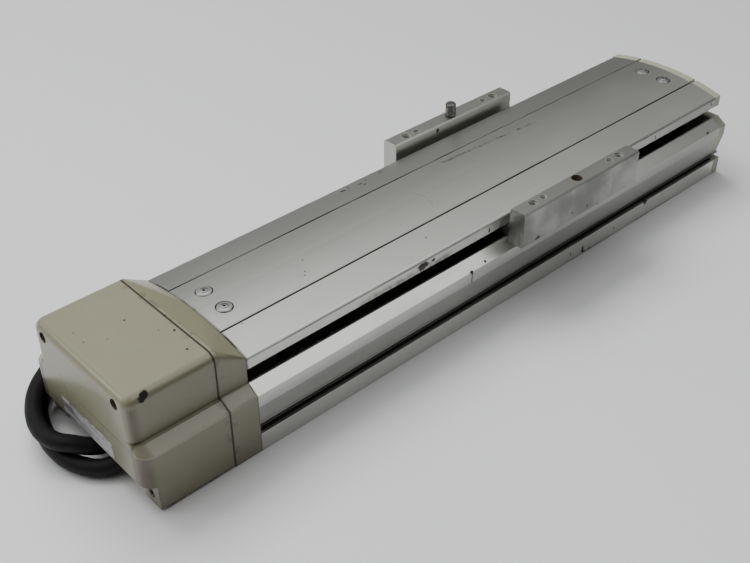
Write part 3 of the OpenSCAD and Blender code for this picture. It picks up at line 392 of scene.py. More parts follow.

# %% [markdown]
# ## Anodised aluminium
#
# The channel, the covers and the slider have a satin anodised skin that mirrors softly.
# Fine lines run along it, left by the die, and over them lie faint smudges, a few dark
# knocks, and grime with painted shade near the seams. The channel's inside and T-slots are
# painted nearly black as shade.

# %% Aluminium
x_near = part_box("channel")[0].x / mm
x_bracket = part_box("motor_bracket")[0].x / mm
x_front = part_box("motor_cover")[0].x / mm
slider_x = sum(corner.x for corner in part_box("slider")) / 2 / mm
crown_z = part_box("centre_cover")[1].z / mm
cover_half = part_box("side_cover_left")[1].y / mm
crown_rise = 6.5
crown_r = (cover_half ** 2 + crown_rise ** 2) / (2 * crown_rise)
crown_mid = crown_z - crown_r
seam_y = 26.6
lip_y = 50.5
waist_top, band_low = 18.2, 35.0
band_mid, band_half = (band_low + waist_top) / 2, (band_low - waist_top) / 2
slot_z = 15.3
foot_top = 12.5
ear_y = 61.5
ear_face = 68.25


def drawn_lines(finish):
    """Fine lines along X, as a value round one half."""
    fine = finish.noise(1.0, 3.0, stretch=(6, 2600, 2600))
    broad = finish.noise(1.0, 2.0, stretch=(2, 420, 420))
    return fine * 0.8 + broad * 0.2


def anodised(name, tone, nicks, layers, rough=0.34):
    """Satin anodised aluminium with dark nicks.

    `layers` takes the finish and gives pairs of a mask and the colour under it.
    """
    finish = Finish(name, rough, metallic=0.92)
    lines = drawn_lines(finish)
    cloud = finish.noise(9.0, 4.0, stretch=(0.35, 1, 1))
    blotch = finish.step(finish.noise(26.0, 5.0, stretch=(0.6, 1, 1)), 0.50, 0.72)
    swept = finish.noise(60.0, 6.0, stretch=(0.12, 1, 1), turn=(0, 0, 0.25))
    scuff = finish.step(swept, 0.66, 0.74)
    hairs = finish.noise(1.0, 1.0, stretch=(14, 900, 900), turn=(0.1, 0.1, 0.35))
    scratch = finish.step(hairs, 0.735, 0.75)
    base = finish.mix(lines * 0.45 + cloud * 0.55, warm(tone * 0.93), warm(tone * 1.04))
    base = finish.mix(blotch * 0.10, base, warm(tone * 0.75))
    base = finish.mix(scuff * 0.12, base, warm(tone * 1.15))
    base = finish.mix(scratch * 0.2, base, warm(tone * 1.3))
    dirt_and_painted_light = finish.spots(nicks) * 0.96
    base = finish.mix(dirt_and_painted_light, base, soot)
    # The layers hold dirt, painted shade and painted light, and each of them also dulls the metal.
    for mask, colour in layers(finish):
        base = finish.mix(mask, base, colour)
        dirt_and_painted_light = most(dirt_and_painted_light, mask)
    finish.feed("Base Color", base)
    finish.feed("Metallic", 0.92 - dirt_and_painted_light * dirt_and_painted_light * 0.8)
    finish.feed("Roughness", rough - 0.05 + cloud * 0.08 + blotch * 0.04 + scuff * 0.06 + dirt_and_painted_light * 0.35)
    finish.bump(lines * 0.5 + scratch * 0.8, 0.00003)
    return finish


print("crown radius", round(crown_r, 1), "mm")

# %% [markdown]
# Where the dirt and the painted shade sit is written as a mask. On the covers painted
# shade with grime fills the two seams and the line at the motor bracket, and hands leave
# smears. On the channel painted shade fills the inside and the T-slots. Single knocks are
# spots: a place and three half-sizes, in millimetres.

# %% Where the dirt and painted shade sit
cover_nicks = [
    (5.4, -51, 61, 0.8, 2, 2.2), (190.7, -51, 61, 0.7, 2, 1.8), (263.8, -51, 62.5, 0.8, 2, 1.6),
    (-42, 44.4, 69, 2.0, 1.2, 2), (-36, 45.5, 69, 1.3, 0.9, 2), (-26.7, 42.7, 69, 2.3, 0.7, 2),
    (-20, 44.6, 69, 1.0, 1.0, 2), (-5, 46, 68.5, 1.4, 0.9, 2), (-48, 50.3, 67, 3.0, 0.9, 2),
    (-37.7, 51, 67, 2.3, 0.9, 3), (-40.7, 43.7, 69, 1.4, 0.8, 2), (-22.3, 50.4, 67, 3.6, 0.8, 2),
    (-25.5, 39.3, 70, 1.1, 0.9, 2), (-12, 50, 67, 2.0, 0.8, 2), (-40.6, -37, 70, 0.8, 0.6, 2),
    (-183.6, -28.5, 71.2, 0.6, 0.5, 2), (-118.6, -5.4, 73, 0.6, 0.5, 2),
    (-124.8, -15, 72.5, 0.6, 0.5, 2), (-127.3, -18, 72.3, 0.6, 0.5, 2),
    (-56.9, -51, 62.1, 4.6, 2, 2.8), (-47.5, -51, 62.6, 1.8, 2, 1.2),
]


def cover_dirt_and_shade(finish):
    """Painted shade with grime in and beside the seams and along the line at the bracket, painted
    shade in the lip's groove and on the far lip, a long smear, a cup's ring and a grubby lip.
    """
    x, y, z = finish.axes()
    across = abs(y)
    broken = finish.step(finish.noise(70.0, 5.0, stretch=(0.25, 1, 1)), 0.42, 0.62)
    fine = finish.step(finish.noise(220.0, 4.0), 0.40, 0.62)
    depth = crown_r - distance(y, z - crown_mid)
    # Painted shade with grime: the seam gaps, a strip beside them and the line at the bracket are
    # painted dark.
    seam_gap_shade = finish.step(depth, 0.35, 0.7) * (1 - finish.step(across, 29.5, 30.5))
    far_seam = finish.step(y, 0, 1) * 0.15
    beside = finish.near(across, seam_y, 0.55, 0.55) * (0.45 + broken * 0.4 + far_seam)
    at_bracket = (1 - finish.step(x, x_near + 0.4, x_near + 1.8)) * (0.55 + broken * 0.45)
    lip = finish.step(across, lip_y - 0.3, lip_y + 0.3)
    below_crown = crown_z - crown_rise - 1.3
    # Painted shade: a dark line in the crease below the lip's top edge.
    lip_groove_shade = finish.near(z, below_crown, 0.15, 0.35) * lip * (0.35 + broken * 0.4)
    smear = finish.near(y + x * 0.06, 21.5, 1.0, 1.0) * finish.near(x, 78, 42, 14)
    smear = smear * (0.52 + fine * 0.36)
    hazy = finish.near(y, 21.0, 1.0, 5.0) * finish.near(x, -8, 10, 26) * 0.22
    cup_ring = finish.near(distance(x + 26, y + 5.8), 15.7, 0.1, 0.5) * finish.step(x, -17, -12) * 0.3
    grubby = finish.near(x, -71, 36, 8) * (1 - finish.step(z, 60.0, 63.5)) * lip * (0.2 + fine * 0.5)
    # Painted shade: the lip is painted dimmer towards the far end.
    dim_shade = finish.step(x, 60, 270) * lip * 0.42
    black = most(seam_gap_shade, beside, at_bracket)
    return [(dim_shade, warm(0.18)), (black, soot), (lip_groove_shade, soot), (smear, soot),
            (hazy, rgb(0.10, 0.09, 0.10)), (cup_ring, rgb(0.05, 0.04, 0.06)),
            (grubby * 0.8, rgb(0.13, 0.10, 0.085))]


channel_nicks = [
    (252.3, -59.5, 44.5, 1.8, 2, 1.0), (102.1, -60, 4.0, 1.4, 2, 3.0), (139, -60, 6, 0.7, 2, 0.7),
    (-19.2, -60, 42.2, 0.9, 2, 1.6), (-19.2, -60, 38, 0.5, 2, 4.2), (-20, -59.6, 43.6, 1.6, 1.4, 0.9),
    (-5.3, -58.5, 44.7, 0.9, 1.0, 1), (177, -60, 14, 2.6, 3, 3.2), (88, -60, 6.2, 0.6, 2, 1.6),
]


def channel_dirt_and_shade(finish):
    """Painted shade: black inside the walls and in the T-slots, a darker flank, a dimmer far band and
    near foot, and grime with painted shade along the waist; also a scribed line.
    """
    x, y, z = finish.axes()
    across = abs(y)
    patchy = finish.step(finish.noise(40.0, 5.0, stretch=(0.3, 1, 1)), 0.45, 0.7)
    # Painted shade: the inside of the walls is painted nearly black.
    inside = (1 - finish.step(across, 50.3, 50.52)) * finish.step(z, 1.0, 2.0)
    # Painted shade: the sloped flank below the band is painted darker.
    flank_shade = finish.near(z, band_mid, band_half - 0.2, 0.2)
    flank_shade = flank_shade * finish.step(across, 55.5, 56.0) * (0.45 + patchy * 0.12)
    # Painted shade: the far band is painted dimmer, and the foot darker near the motor end.
    far_band_shade = finish.step(x, 60, 270) * finish.step(z, band_low - 0.5, band_low) * 0.42
    in_foot = 1 - finish.step(z, foot_top - 0.5, foot_top + 0.5)
    dim_shade = most(far_band_shade, (1 - finish.step(x, -250, -130)) * in_foot * 0.35)
    # Painted shade: the T-slots are painted nearly black.
    slot = finish.near(z, slot_z, 2.6, 0.4) * (1 - finish.step(across, 57.7, 58.4))
    # Grime with painted shade along the waist.
    waist = finish.near(z, 18.0, 0.8, 1.6) * patchy * 0.35
    foot = (1 - finish.step(z, 0.2, 1.6)) * patchy * 0.5
    chipped = finish.step(finish.noise(420.0, 2.0, stretch=(0.5, 1, 1)), 0.55, 0.60)
    dashes = finish.near(z, 1.4, 0.4, 0.4) * finish.near(x, 118, 14, 4) * chipped
    scribed = finish.near(x, 180.7, 0.1, 0.15) * (1 - finish.step(z, 10.0, 10.5)) * 0.6
    return [(dim_shade, warm(0.18)), (flank_shade, warm(0.14)), (most(inside, slot, dashes) * 0.97, soot),
            (most(waist, foot), soot), (scribed, soot)]


slider_nicks = [
    (35.5, -68.7, 49.5, 2.6, 2, 2.2), (57.2, -68.7, 47.8, 1.6, 2, 1.4), (71.8, -68.7, 54, 0.8, 2, 1.0),
    (88.6, -68.7, 52.3, 0.9, 2, 1.1), (100.4, -68.7, 48.6, 1.4, 2, 1.0), (63, 55.8, 71, 1.3, 2, 2.2),
    (38, -68.7, 46.8, 1.8, 2, 2.4), (33.5, -68.7, 44.2, 4.0, 2, 0.9),
]
open_hole = (82.1, -ear_y)
tapped_holes = {  # name: distance along X, thread's radius, pitch and ridge
    "m8_threads": (93, 3.4, 1.25, 0.42),
    "m6_threads": (72, 2.5, 1.0, 0.34),
}


def slider_dirt_and_painted_light(finish):
    """Painted shade under the covers and, with mottled stains, on the ears' outer faces; dark runs low
    on the ears; painted light round the tapped holes; rust in and round the open dowel hole.
    """
    x, y, z = finish.axes()
    across = abs(y)
    # Painted shade: the slider is painted dark under the covers.
    under = (1 - finish.step(across, 47.0, 52.0)) * 0.8
    mottled = finish.step(finish.noise(38.0, 5.0), 0.38, 0.66)
    # Painted shade with mottled stains on the ears' outer faces.
    outer_shade_and_stains = finish.step(across, ear_face - 0.25, ear_face + 0.25) * (0.25 + mottled * 0.4)
    runs = finish.step(finish.noise(1.0, 5.0, stretch=(90, 90, 14)), 0.56, 0.72)
    # Dark runs low on the ears, darker towards their foot.
    ears = runs * finish.step(across, 54.0, 56.0) * (1 - finish.step(z, 55.0, 73.0)) * 0.34
    from_hole = distance(x - open_hole[0], y - open_hole[1])
    rust = 1 - finish.step(from_hole + (finish.ragged_noise() - 0.5) * 2.4, 3.6, 5.2)
    # Painted light: the rims of the tapped holes are painted lighter, like a reflection of the sky.
    hole_rim_light = []
    for apart, radius, pitch, ridge in tapped_holes.values():
        from_axis = distance(abs(x - slider_x) - apart / 2, across - ear_y)
        hole_rim_light.append(1 - finish.step(from_axis, radius + 0.1, radius + 0.5))
    return [(under, soot), (ears, soot), (outer_shade_and_stains, warm(0.16)), (most(*hole_rim_light) * 0.8, warm(0.5)),
            (rust * 0.85, rgb(0.13, 0.085, 0.032))]


def block_dirt(finish):
    """A film of old oil in patches."""
    return [(finish.step(finish.noise(50.0, 4.0), 0.60, 0.75) * 0.4, soot)]


machined_nicks = [(slider_x + 8.0, 12.0, 30.0, 1.0, 1.0, 1.0)]
finishes = {
    "cover_aluminium": anodised("anodised_covers", 0.60, cover_nicks, cover_dirt_and_shade),
    "anodised_aluminium": anodised("anodised_channel", 0.60, channel_nicks, channel_dirt_and_shade, rough=0.32),
    "machined_aluminium": anodised("machined_blocks", 0.42, machined_nicks, block_dirt, rough=0.36),
}
slider_finish = anodised("anodised_slider", 0.47, slider_nicks, slider_dirt_and_painted_light)
print("aluminium finishes:", len(finishes) + 1)

# %% [markdown]
# ## Paint and plastics
#
# The housing at the motor end is sprayed in a semi-gloss olive beige, which is not
# metallic. It has a faint orange peel, brown grime down its rounded corners, dark brown in
# the screw recesses, tiny black specks, and one chip at the front corner. The ledge between
# its tiers is painted lighter as painted light, and its sides darker as painted shade; the
# seam at the bracket is painted dark as shade. The end caps are moulded in a paler, duller
# beige.

# %% Paint and plastics
paint_specks = [
    (-237.8, 10.7, 80, 0.7, 0.7, 2), (-221.7, -16.4, 80, 0.8, 0.8, 2),
    (-228.4, -10.2, 80, 0.45, 0.45, 2), (-225.9, -35.2, 80, 0.7, 0.7, 2),
    (-254.1, 2.6, 80, 0.45, 0.45, 2), (-265.4, 9.4, 80, 0.5, 0.5, 2),
    (-265.5, 20.3, 80, 0.6, 0.45, 2), (-217.8, -1.4, 80, 0.5, 0.5, 2),
    (-263.6, -50.4, 78.6, 3.4, 4.0, 2.7), (-265.2, -50.8, 77.3, 2.9, 3.2, 2.7),
]
screw_recesses = ((38, 72), (51, 9.5))
scratch_lean = 0.354


def sprayed(name):
    """Semi-gloss housing paint with grime, specks and a chip; painted shade on its sides and at the
    bracket seam, and painted light on its ledge.
    """
    finish = Finish(name, 0.30, Coat_Roughness=0.08)
    x, y, z = finish.axes()
    across = abs(y)
    cloud = finish.noise(22.0, 5.0)
    fine = finish.noise(140.0, 4.0)
    base = finish.mix(cloud, rgb(0.248, 0.242, 0.155), rgb(0.290, 0.284, 0.188))
    # Brown darkening towards the bottom and near the front corners.
    low = 1 - finish.step(z, 12.0, 50.0)
    back = x - x_front
    corner = finish.step(across, 43.0, 60.0) * (1 - finish.step(back, 5, 26))
    edge_stain = finish.step(across, 46.5, 49.5) * (1 - finish.step(back, 3, 9))
    edge_stain = edge_stain * (1 - finish.step(z, 71.0, 77.0))
    edge_stain = edge_stain * (0.55 + finish.step(cloud, 0.35, 0.65) * 0.4)
    grime = (low * 0.40 + corner * 0.50) * finish.step(cloud, 0.35, 0.75)
    base = finish.mix(grime * 0.55, base, rgb(0.125, 0.104, 0.070))
    # Painted light and shade: the sloping ledge between the tiers is painted lighter, and the sides
    # darker.
    ledge_light = finish.near(z, 45.3, 2.6, 0.6) * finish.step(across, 49.5, 51.0)
    side = finish.step(across, 47.5, 50.0) * (1 - ledge_light)
    base = finish.mix(side * 0.22, base, rgb(0.105, 0.098, 0.060))
    base = finish.mix(ledge_light * 0.6, base, rgb(0.40, 0.39, 0.28))
    base = finish.mix(edge_stain * (1 - ledge_light * 0.5), base, rgb(0.088, 0.061, 0.038))
    streak = finish.step(finish.noise(30.0, 4.0, stretch=(1, 1, 0.15)), 0.60, 0.75)
    base = finish.mix(streak * 0.16, base, rgb(0.15, 0.135, 0.098))
    # Painted shade: a dark line in the seam gap at the bracket, and a darker end where the bracket
    # meets the covers.
    bracket_seam_shade = finish.near(x, x_bracket - 0.2, 0.5, 0.5)
    by_covers_shade = finish.step(x, x_near - 1.2, x_near - 0.3) * 0.55
    smudge = finish.step(fine, 0.52, 0.62) * finish.near(x, x_bracket, 1.0, 5.0) * 0.4
    ledge = finish.near(z, 43.4, 0.3, 1.2) * finish.step(cloud, 0.4, 0.6) * 0.35
    dirt_and_painted_light = most(bracket_seam_shade, by_covers_shade, smudge, ledge)
    base = finish.mix(dirt_and_painted_light * 0.85, base, rgb(0.03, 0.026, 0.018))
    long_scratch = finish.near(y - z * scratch_lean, 6.0, 0.1, 0.35) * finish.near(z, 44, 9.5, 1.5)
    long_scratch = long_scratch * finish.near(back, 0, 1, 1)
    base = finish.mix(long_scratch * 0.7, base, rgb(0.04, 0.036, 0.028))
    # The screw recesses are painted dark brown.
    for screw_y, screw_z in screw_recesses:
        recess = 1 - finish.step(distance(across - screw_y, z - screw_z), 3.3, 3.9)
        recess = recess * 0.9 * (1 - finish.step(back, 8, 9))
        base = finish.mix(recess, base, rgb(0.055, 0.043, 0.022))
    chips = finish.spots(paint_specks, 0.22)
    base = finish.mix(chips, base, grey(0.002))
    finish.feed("Base Color", base)
    finish.feed("Roughness", 0.27 + cloud * 0.12 + grime * 0.2 + dirt_and_painted_light * 0.2 + chips * 0.4)
    finish.feed("Coat Weight", (1 - chips) * 0.3)
    finish.bump(finish.noise(900.0, 2.0) * 0.6 + (1 - chips) * 2.0, 0.00006)
    return finish


def moulded(name, colour, rough, shade=0.85, grain=1400.0, specular=0.5):
    """Moulded plastic or rubber: a fine grain and a little unevenness."""
    finish = Finish(name, rough, Specular_IOR_Level=specular)
    cloud = finish.noise(35.0, 4.0)
    dull = tuple(c * shade for c in colour[:3]) + (1.0,)
    finish.feed("Base Color", finish.mix(cloud, dull, colour))
    finish.feed("Roughness", rough - 0.06 + cloud * 0.12)
    finish.bump(finish.noise(grain, 3.0), 0.00004)
    return finish


finishes |= {
    "housing_paint": sprayed("sprayed_housing"),
    "cap_plastic": moulded("beige_caps", rgb(0.45, 0.455, 0.345), 0.42),
    "black_plastic": moulded("black_moulding", rgb(0.018, 0.018, 0.02), 0.45),
    "connector_plastic": moulded("ivory_plugs", rgb(0.62, 0.60, 0.52), 0.38),
    "bumper_rubber": moulded("bumper_rubber", rgb(0.30, 0.10, 0.04), 0.6),
    "seal_green": moulded("green_seals", rgb(0.04, 0.12, 0.07), 0.5),
    "black_rubber": moulded("grommet_rubber", grey(0.012), 0.62),
    "cable_jacket": moulded("lead_sheath", rgb(0.008, 0.008, 0.009), 0.55, grain=2200.0,
                            specular=0.25),
    "motor_black": moulded("motor_enamel", rgb(0.02, 0.02, 0.022), 0.35),
}
print("paint and plastics done")

# %% [markdown]
# ## Steels
#
# Screws, rails and the ball screw are steel. Bright steel has faint turning marks, and
# black oxide is dark with a soft sheen. The pin has begun to rust.

# %% Steels
def steel(name, tone, rough, tint=(1.0, 1.0, 1.0), rust=0.0):
    """Turned or ground steel: `tone` is its level, and `rust` how far it has rusted."""
    finish = Finish(name, rough, metallic=1.0)
    cloud = finish.noise(120.0, 4.0)
    fine = finish.noise(2500.0, 2.0)
    light = tuple(tone * t for t in tint) + (1.0,)
    dark = tuple(tone * 0.78 * t for t in tint) + (1.0,)
    base = finish.mix(cloud, dark, light)
    if rust:
        brown = finish.step(finish.noise(260.0, 5.0), 0.60 - rust * 0.3, 0.72 - rust * 0.3)
        base = finish.mix(brown * 0.85, base, rgb(0.10, 0.045, 0.018))
        finish.feed("Metallic", 1 - brown * 0.8)
    finish.feed("Base Color", base)
    finish.feed("Roughness", rough - 0.06 + cloud * 0.16)
    finish.bump(fine, 0.000004)
    return finish


finishes |= {
    "bright_steel": steel("bright_steel", 0.72, 0.24),
    "dark_steel": steel("ground_steel", 0.34, 0.3),
    "bearing_steel": steel("bearing_steel", 0.58, 0.22),
    "black_steel": steel("black_oxide", 0.07, 0.38),
}
brass = steel("brass_pins", 0.60, 0.25, tint=(1.0, 0.80, 0.42))
pin_steel = steel("dowel_steel", 0.26, 0.38, rust=0.35)
dirty_steel = steel("dirty_screws", 0.13, 0.42, tint=(1.0, 0.9, 0.75), rust=0.3)
print("finishes:", len(finishes))

# %% [markdown]
# ## Edges that catch the light
#
# CAD edges are perfectly sharp, and nothing real is: the eye knows metal by the thin
# bright line along each rounded edge. The CAD solids stay as they are, so a copy is
# softened. Its flat faces become whole again, a Bevel modifier rounds what is sharper
# than 30 degrees, and a Weighted Normal modifier keeps flats flat and the crown round.
# The copy then stands for the CAD node.

# %% Softened copies
slot_of = {entry["node"]: entry["material_slot"] for entry in frame["record"]["subparts"]}
bodies = frame["record"]["behaviour"]["bodies"]
body_of = {node: body for body, nodes in bodies.items() for node in nodes}
flat_angle, edge_angle = math.radians(0.6), math.radians(30)


def merged(node):
    """A CAD node's mesh in edit form, with its doubled corners merged."""
    shape = bmesh.new()
    shape.from_mesh(frame["nodes"][node].data)
    bmesh.ops.remove_doubles(shape, verts=shape.verts, dist=0.002 * mm)
    return shape


def shaded_smooth(mesh, crisp):
    """Smooth shading, apart from edges sharper than `crisp` degrees."""
    mesh.shade_smooth()
    mesh.set_sharp_from_angle(angle=math.radians(crisp))


def solid(name, shape, crisp=None):
    """A new object from a mesh in edit form."""
    mesh = bpy.data.meshes.new(name)
    shape.to_mesh(mesh)
    shape.free()
    if crisp:
        shaded_smooth(mesh, crisp)
    return link(bpy.data.objects.new(name, mesh))


def baked(piece):
    """Applies a piece's modifiers, so that it is one plain mesh."""
    bpy.context.view_layer.update()
    evaluated = piece.evaluated_get(bpy.context.evaluated_depsgraph_get())
    mesh = bpy.data.meshes.new_from_object(evaluated)
    piece.modifiers.clear()
    piece.data = mesh
    mesh.name = piece.name
    return piece


def stand_in(piece, node, finish=None):
    """The piece rides with the CAD node's body and stands for it, with the node hidden; a given finish
    becomes its material.
    """
    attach(piece, body_of[node])
    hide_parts(node)
    if finish:
        piece.data.materials.clear()
        piece.data.materials.append(finish.material)
    return piece


def softened(node, width, finish=None, crisp=35):
    """A copy of a CAD node with rounded edges, `width` millimetres wide.

    An edge sharper than `crisp` degrees keeps its line where the rounding leaves it.
    """
    shape = merged(node)
    bmesh.ops.dissolve_limit(shape, angle_limit=flat_angle, verts=shape.verts, edges=shape.edges)
    piece = solid(node + "_soft", shape, crisp)
    bevel = piece.modifiers.new("round", "BEVEL")
    bevel.width = width * mm
    bevel.segments = 2
    bevel.limit_method = "ANGLE"
    bevel.angle_limit = edge_angle
    bevel.miter_outer = "MITER_ARC"
    weighted = piece.modifiers.new("weigh", "WEIGHTED_NORMAL")
    weighted.mode = "FACE_AREA_WITH_ANGLE"
    weighted.keep_sharp = True
    baked(piece)
    return stand_in(piece, node, finish or finishes[slot_of[node]])


soft_widths = {
    "channel": 0.35, "motor_bracket": 0.7, "motor_cover": 0.8, "side_cover_left": 0.35,
    "side_cover_right": 0.35, "centre_cover": 0.3, "base_end_cap": 0.8, "end_cap_left": 0.6,
    "end_cap_centre": 0.6, "end_cap_right": 0.6, "motor_connector": 0.6, "encoder_connector": 0.6,
    "cable_grommet": 0.3, "front_bearing_block": 0.3, "rear_bearing_block": 0.3,
    "guide_blocks": 0.3, "stop_bumpers": 0.8, "dowel_pin": 0.15,
}
soft_pieces = {node: softened(node, width, crisp=3 if node == "channel" else 35)
               for node, width in soft_widths.items()}
soft_pieces["slider"] = softened("slider", 0.4, slider_finish)
soft_pieces["dowel_pin"].data.materials[0] = pin_steel.material
faces = sum(len(piece.data.polygons) for piece in soft_pieces.values())
print("softened:", len(soft_pieces), "pieces,", faces, "faces")

# %% [markdown]
# ## Screws from Geometry Nodes
#
# A screw is turned from bar, so it is a stack of round slices, and its socket is a
# hexagonal prism taken away. A Geometry Nodes tree builds one screw from its sizes and
# puts it at many places, each turned by another angle, as a fitter leaves them. `Grower`
# writes such a tree: its inputs are the sizes, and its last nodes give the finish.

# %% The grower class
to_front, to_back = (-1.0, 0.0, 0.0), (1.0, 0.0, 0.0)
upwards, downwards = (0.0, 0.0, 1.0), (0.0, 0.0, -1.0)
upright, laid_along_x = (0.0, 0.0, 0.0), (0.0, math.pi / 2, 0.0)


class Grower(Tree):
    """A Geometry Nodes tree in the making."""

    KINDS = {int: "NodeSocketInt", float: "NodeSocketFloat", tuple: "NodeSocketVector"}

    def __init__(self, name, **sizes):
        self.tree = bpy.data.node_groups.new(name, "GeometryNodeTree")
        face = self.tree.interface
        face.new_socket("Places", in_out="INPUT", socket_type="NodeSocketGeometry")
        for size, value in sizes.items():
            socket = face.new_socket(size, in_out="INPUT", socket_type=self.KINDS[type(value)])
            socket.default_value = value
        face.new_socket("Finish", in_out="INPUT", socket_type="NodeSocketMaterial")
        face.new_socket("Result", in_out="OUTPUT", socket_type="NodeSocketGeometry")
        self.inputs = self.tree.nodes.new("NodeGroupInput")
        self.sizes = [self.size(name) for name in sizes]

    def size(self, name):
        return Wire(self.tree, self.inputs.outputs[name])

    def vector(self, x, y, z):
        return self.node("ShaderNodeCombineXYZ", [x, y, z])

    def lifted(self, shape, z):
        values = {"Geometry": shape, "Translation": self.vector(0.0, 0.0, z)}
        return self.node("GeometryNodeTransform", values)

    def slice(self, low, high, radius_low, radius_high, sides):
        """One round slice of a turned part, from one height to another."""
        cone = self.node("GeometryNodeMeshCone", {"Vertices": sides, "Radius Bottom": radius_low,
                                                  "Radius Top": radius_high, "Depth": high - low})
        return self.lifted(cone, low)

    def join(self, *shapes):
        return self.node("GeometryNodeJoinGeometry", {"Geometry": list(shapes)})

    def union(self, *shapes):
        return self.node("GeometryNodeMeshBoolean", {1: list(shapes)}, operation="UNION")

    def minus(self, shape, tool):
        return self.node("GeometryNodeMeshBoolean", {0: shape, 1: tool}, operation="DIFFERENCE")

    def scatter(self, shape, facing, seed, whole_turn=True):
        """A copy at each place, its Z along `facing`, turned at random about itself."""
        aimed = self.node("FunctionNodeAlignRotationToVector", {"Vector": facing}, axis="Z")
        widest = full_turn if whole_turn else 0.0
        values = {"Max": widest, "Seed": seed}
        spin = self.node("FunctionNodeRandomValue", values, 1, data_type="FLOAT")
        about = self.node("FunctionNodeAxisAngleToRotation", {"Axis": upwards, "Angle": spin})
        turned = self.node("FunctionNodeRotateRotation", {"Rotation": aimed, "Rotate By": about},
                           rotation_space="LOCAL")
        return self.copies(shape, turned)

    def copies(self, shape, turned=upright):
        """A copy of a shape at each place."""
        values = {"Points": self.size("Places"), "Instance": shape, "Rotation": turned}
        return self.node("GeometryNodeInstanceOnPoints", values)

    def result(self, shape):
        real = self.node("GeometryNodeRealizeInstances", {"Geometry": shape})
        values = {"Geometry": real, "Material": self.size("Finish")}
        dressed = self.node("GeometryNodeSetMaterial", values)
        output = self.tree.nodes.new("NodeGroupOutput")
        self.tree.links.new(dressed.socket, output.inputs["Result"])


def grown(name, grower, places, finish, crisp=35, **sizes):
    """Runs a tree on a set of places in metres, and keeps its result as a plain mesh."""
    points = bpy.data.meshes.new(name + "_places")
    points.from_pydata([tuple(place) for place in places], [], [])
    piece = link(bpy.data.objects.new(name, points))
    modifier = piece.modifiers.new("grow", "NODES")
    modifier.node_group = grower.tree
    sizes["Finish"] = finish.material
    for item in grower.tree.interface.items_tree:
        if item.in_out == "INPUT" and item.name in sizes:
            modifier[item.identifier] = sizes[item.name]
    baked(piece)
    shaded_smooth(piece.data, crisp)
    return piece


def loose_parts(node):
    """The lowest and highest corner of each separate solid of a CAD node, in metres."""
    shape = merged(node)
    waiting = set(shape.verts)
    boxes = []
    while waiting:
        front = [waiting.pop()]
        found = []
        while front:
            corner = front.pop()
            found.append(corner.co.copy())
            others = {edge.other_vert(corner) for edge in corner.link_edges} & waiting
            waiting -= others
            front.extend(others)
        boxes.append([Vector(pick(v[i] for v in found) for i in range(3)) for pick in (min, max)])
    shape.free()
    return boxes


print("rail screws:", len(loose_parts("rail_screws")))

# %% [markdown]
# The socket head screw has a chamfered head, a hexagon socket and a shank. Its place and
# length come from the CAD solids: each loose part of a CAD node is one screw, and its box
# gives the place and the length. The head's sizes and the shank's diameter are given.

# %% Socket head screws
cap_screw = Grower("socket_head_screw", Head=5.5 * mm, Height=3.0 * mm, Shank=3.0 * mm,
                   Length=10.0 * mm, Facing=upwards, Seed=3)
head_d, height, shank_d, length, facing, seed = cap_screw.sizes
half_head, half_shank, edge = head_d * 0.5, shank_d * 0.5, head_d * 0.06
head_low = cap_screw.slice(height * -1, edge * -1, half_head, half_head, 40)
head_top = cap_screw.slice(edge * -1, height * 0, half_head, half_head - edge, 40)
shank = cap_screw.slice(height * -1 - length, height * -1, half_shank, half_shank, 24)
socket = cap_screw.slice(height * -0.6, height * 0.2, half_head * 0.58, half_head * 0.58, 6)
lead_in = cap_screw.slice(height * -0.10, height * 0.02, half_head * 0.52, half_head * 0.68, 24)
cut_head = cap_screw.minus(cap_screw.minus(cap_screw.union(head_low, head_top), socket), lead_in)
cap_screw.result(cap_screw.scatter(cap_screw.join(cut_head, shank), facing, seed))


def screws(node, facing, head, head_height, shank_d, finish, seed):
    """Socket head screws in place of a CAD node's plain ones: sizes in millimetres."""
    axis = max(range(3), key=lambda i: abs(facing[i]))
    boxes = loose_parts(node)
    by_length = {}
    for low, high in boxes:
        top = (low + high) / 2
        top[axis] = (high if facing[axis] > 0 else low)[axis]
        by_length.setdefault(round((high - low)[axis], 5), []).append(top)
    for number, (length, places) in enumerate(sorted(by_length.items())):
        name = node + "_set" + (str(number + 1) if len(by_length) > 1 else "")
        piece = grown(name, cap_screw, places, finish, Head=head * mm, Height=head_height * mm,
                      Shank=shank_d * mm, Length=length - head_height * mm, Facing=facing,
                      Seed=seed + number)
        stand_in(piece, node)


bright, black_oxide = finishes["bright_steel"], finishes["black_steel"]
screws("motor_cover_screws", to_front, 6.5, 3.0, 4.0, dirty_steel, 11)
screws("end_cap_screws", to_back, 5.5, 3.0, 3.0, bright, 12)
screws("rail_screws", upwards, 6.0, 2.9, 3.0, black_oxide, 13)
screws("saddle_screws", upwards, 5.5, 3.0, 3.0, black_oxide, 14)
screws("bearing_block_screws", downwards, 8.5, 5.0, 5.0, black_oxide, 15)
screws("nut_screws", to_front, 7.0, 4.0, 4.0, black_oxide, 16)
screws("motor_screws", to_front, 5.5, 3.0, 3.0, bright, 17)
print("socket head screws in seven sets")

# %% [markdown]
# The four screws on top of the centre cover are of another kind: a wide low head with a
# stepped rim, a raised ring in its middle, and a small socket inside the ring, painted dark
# as shade.

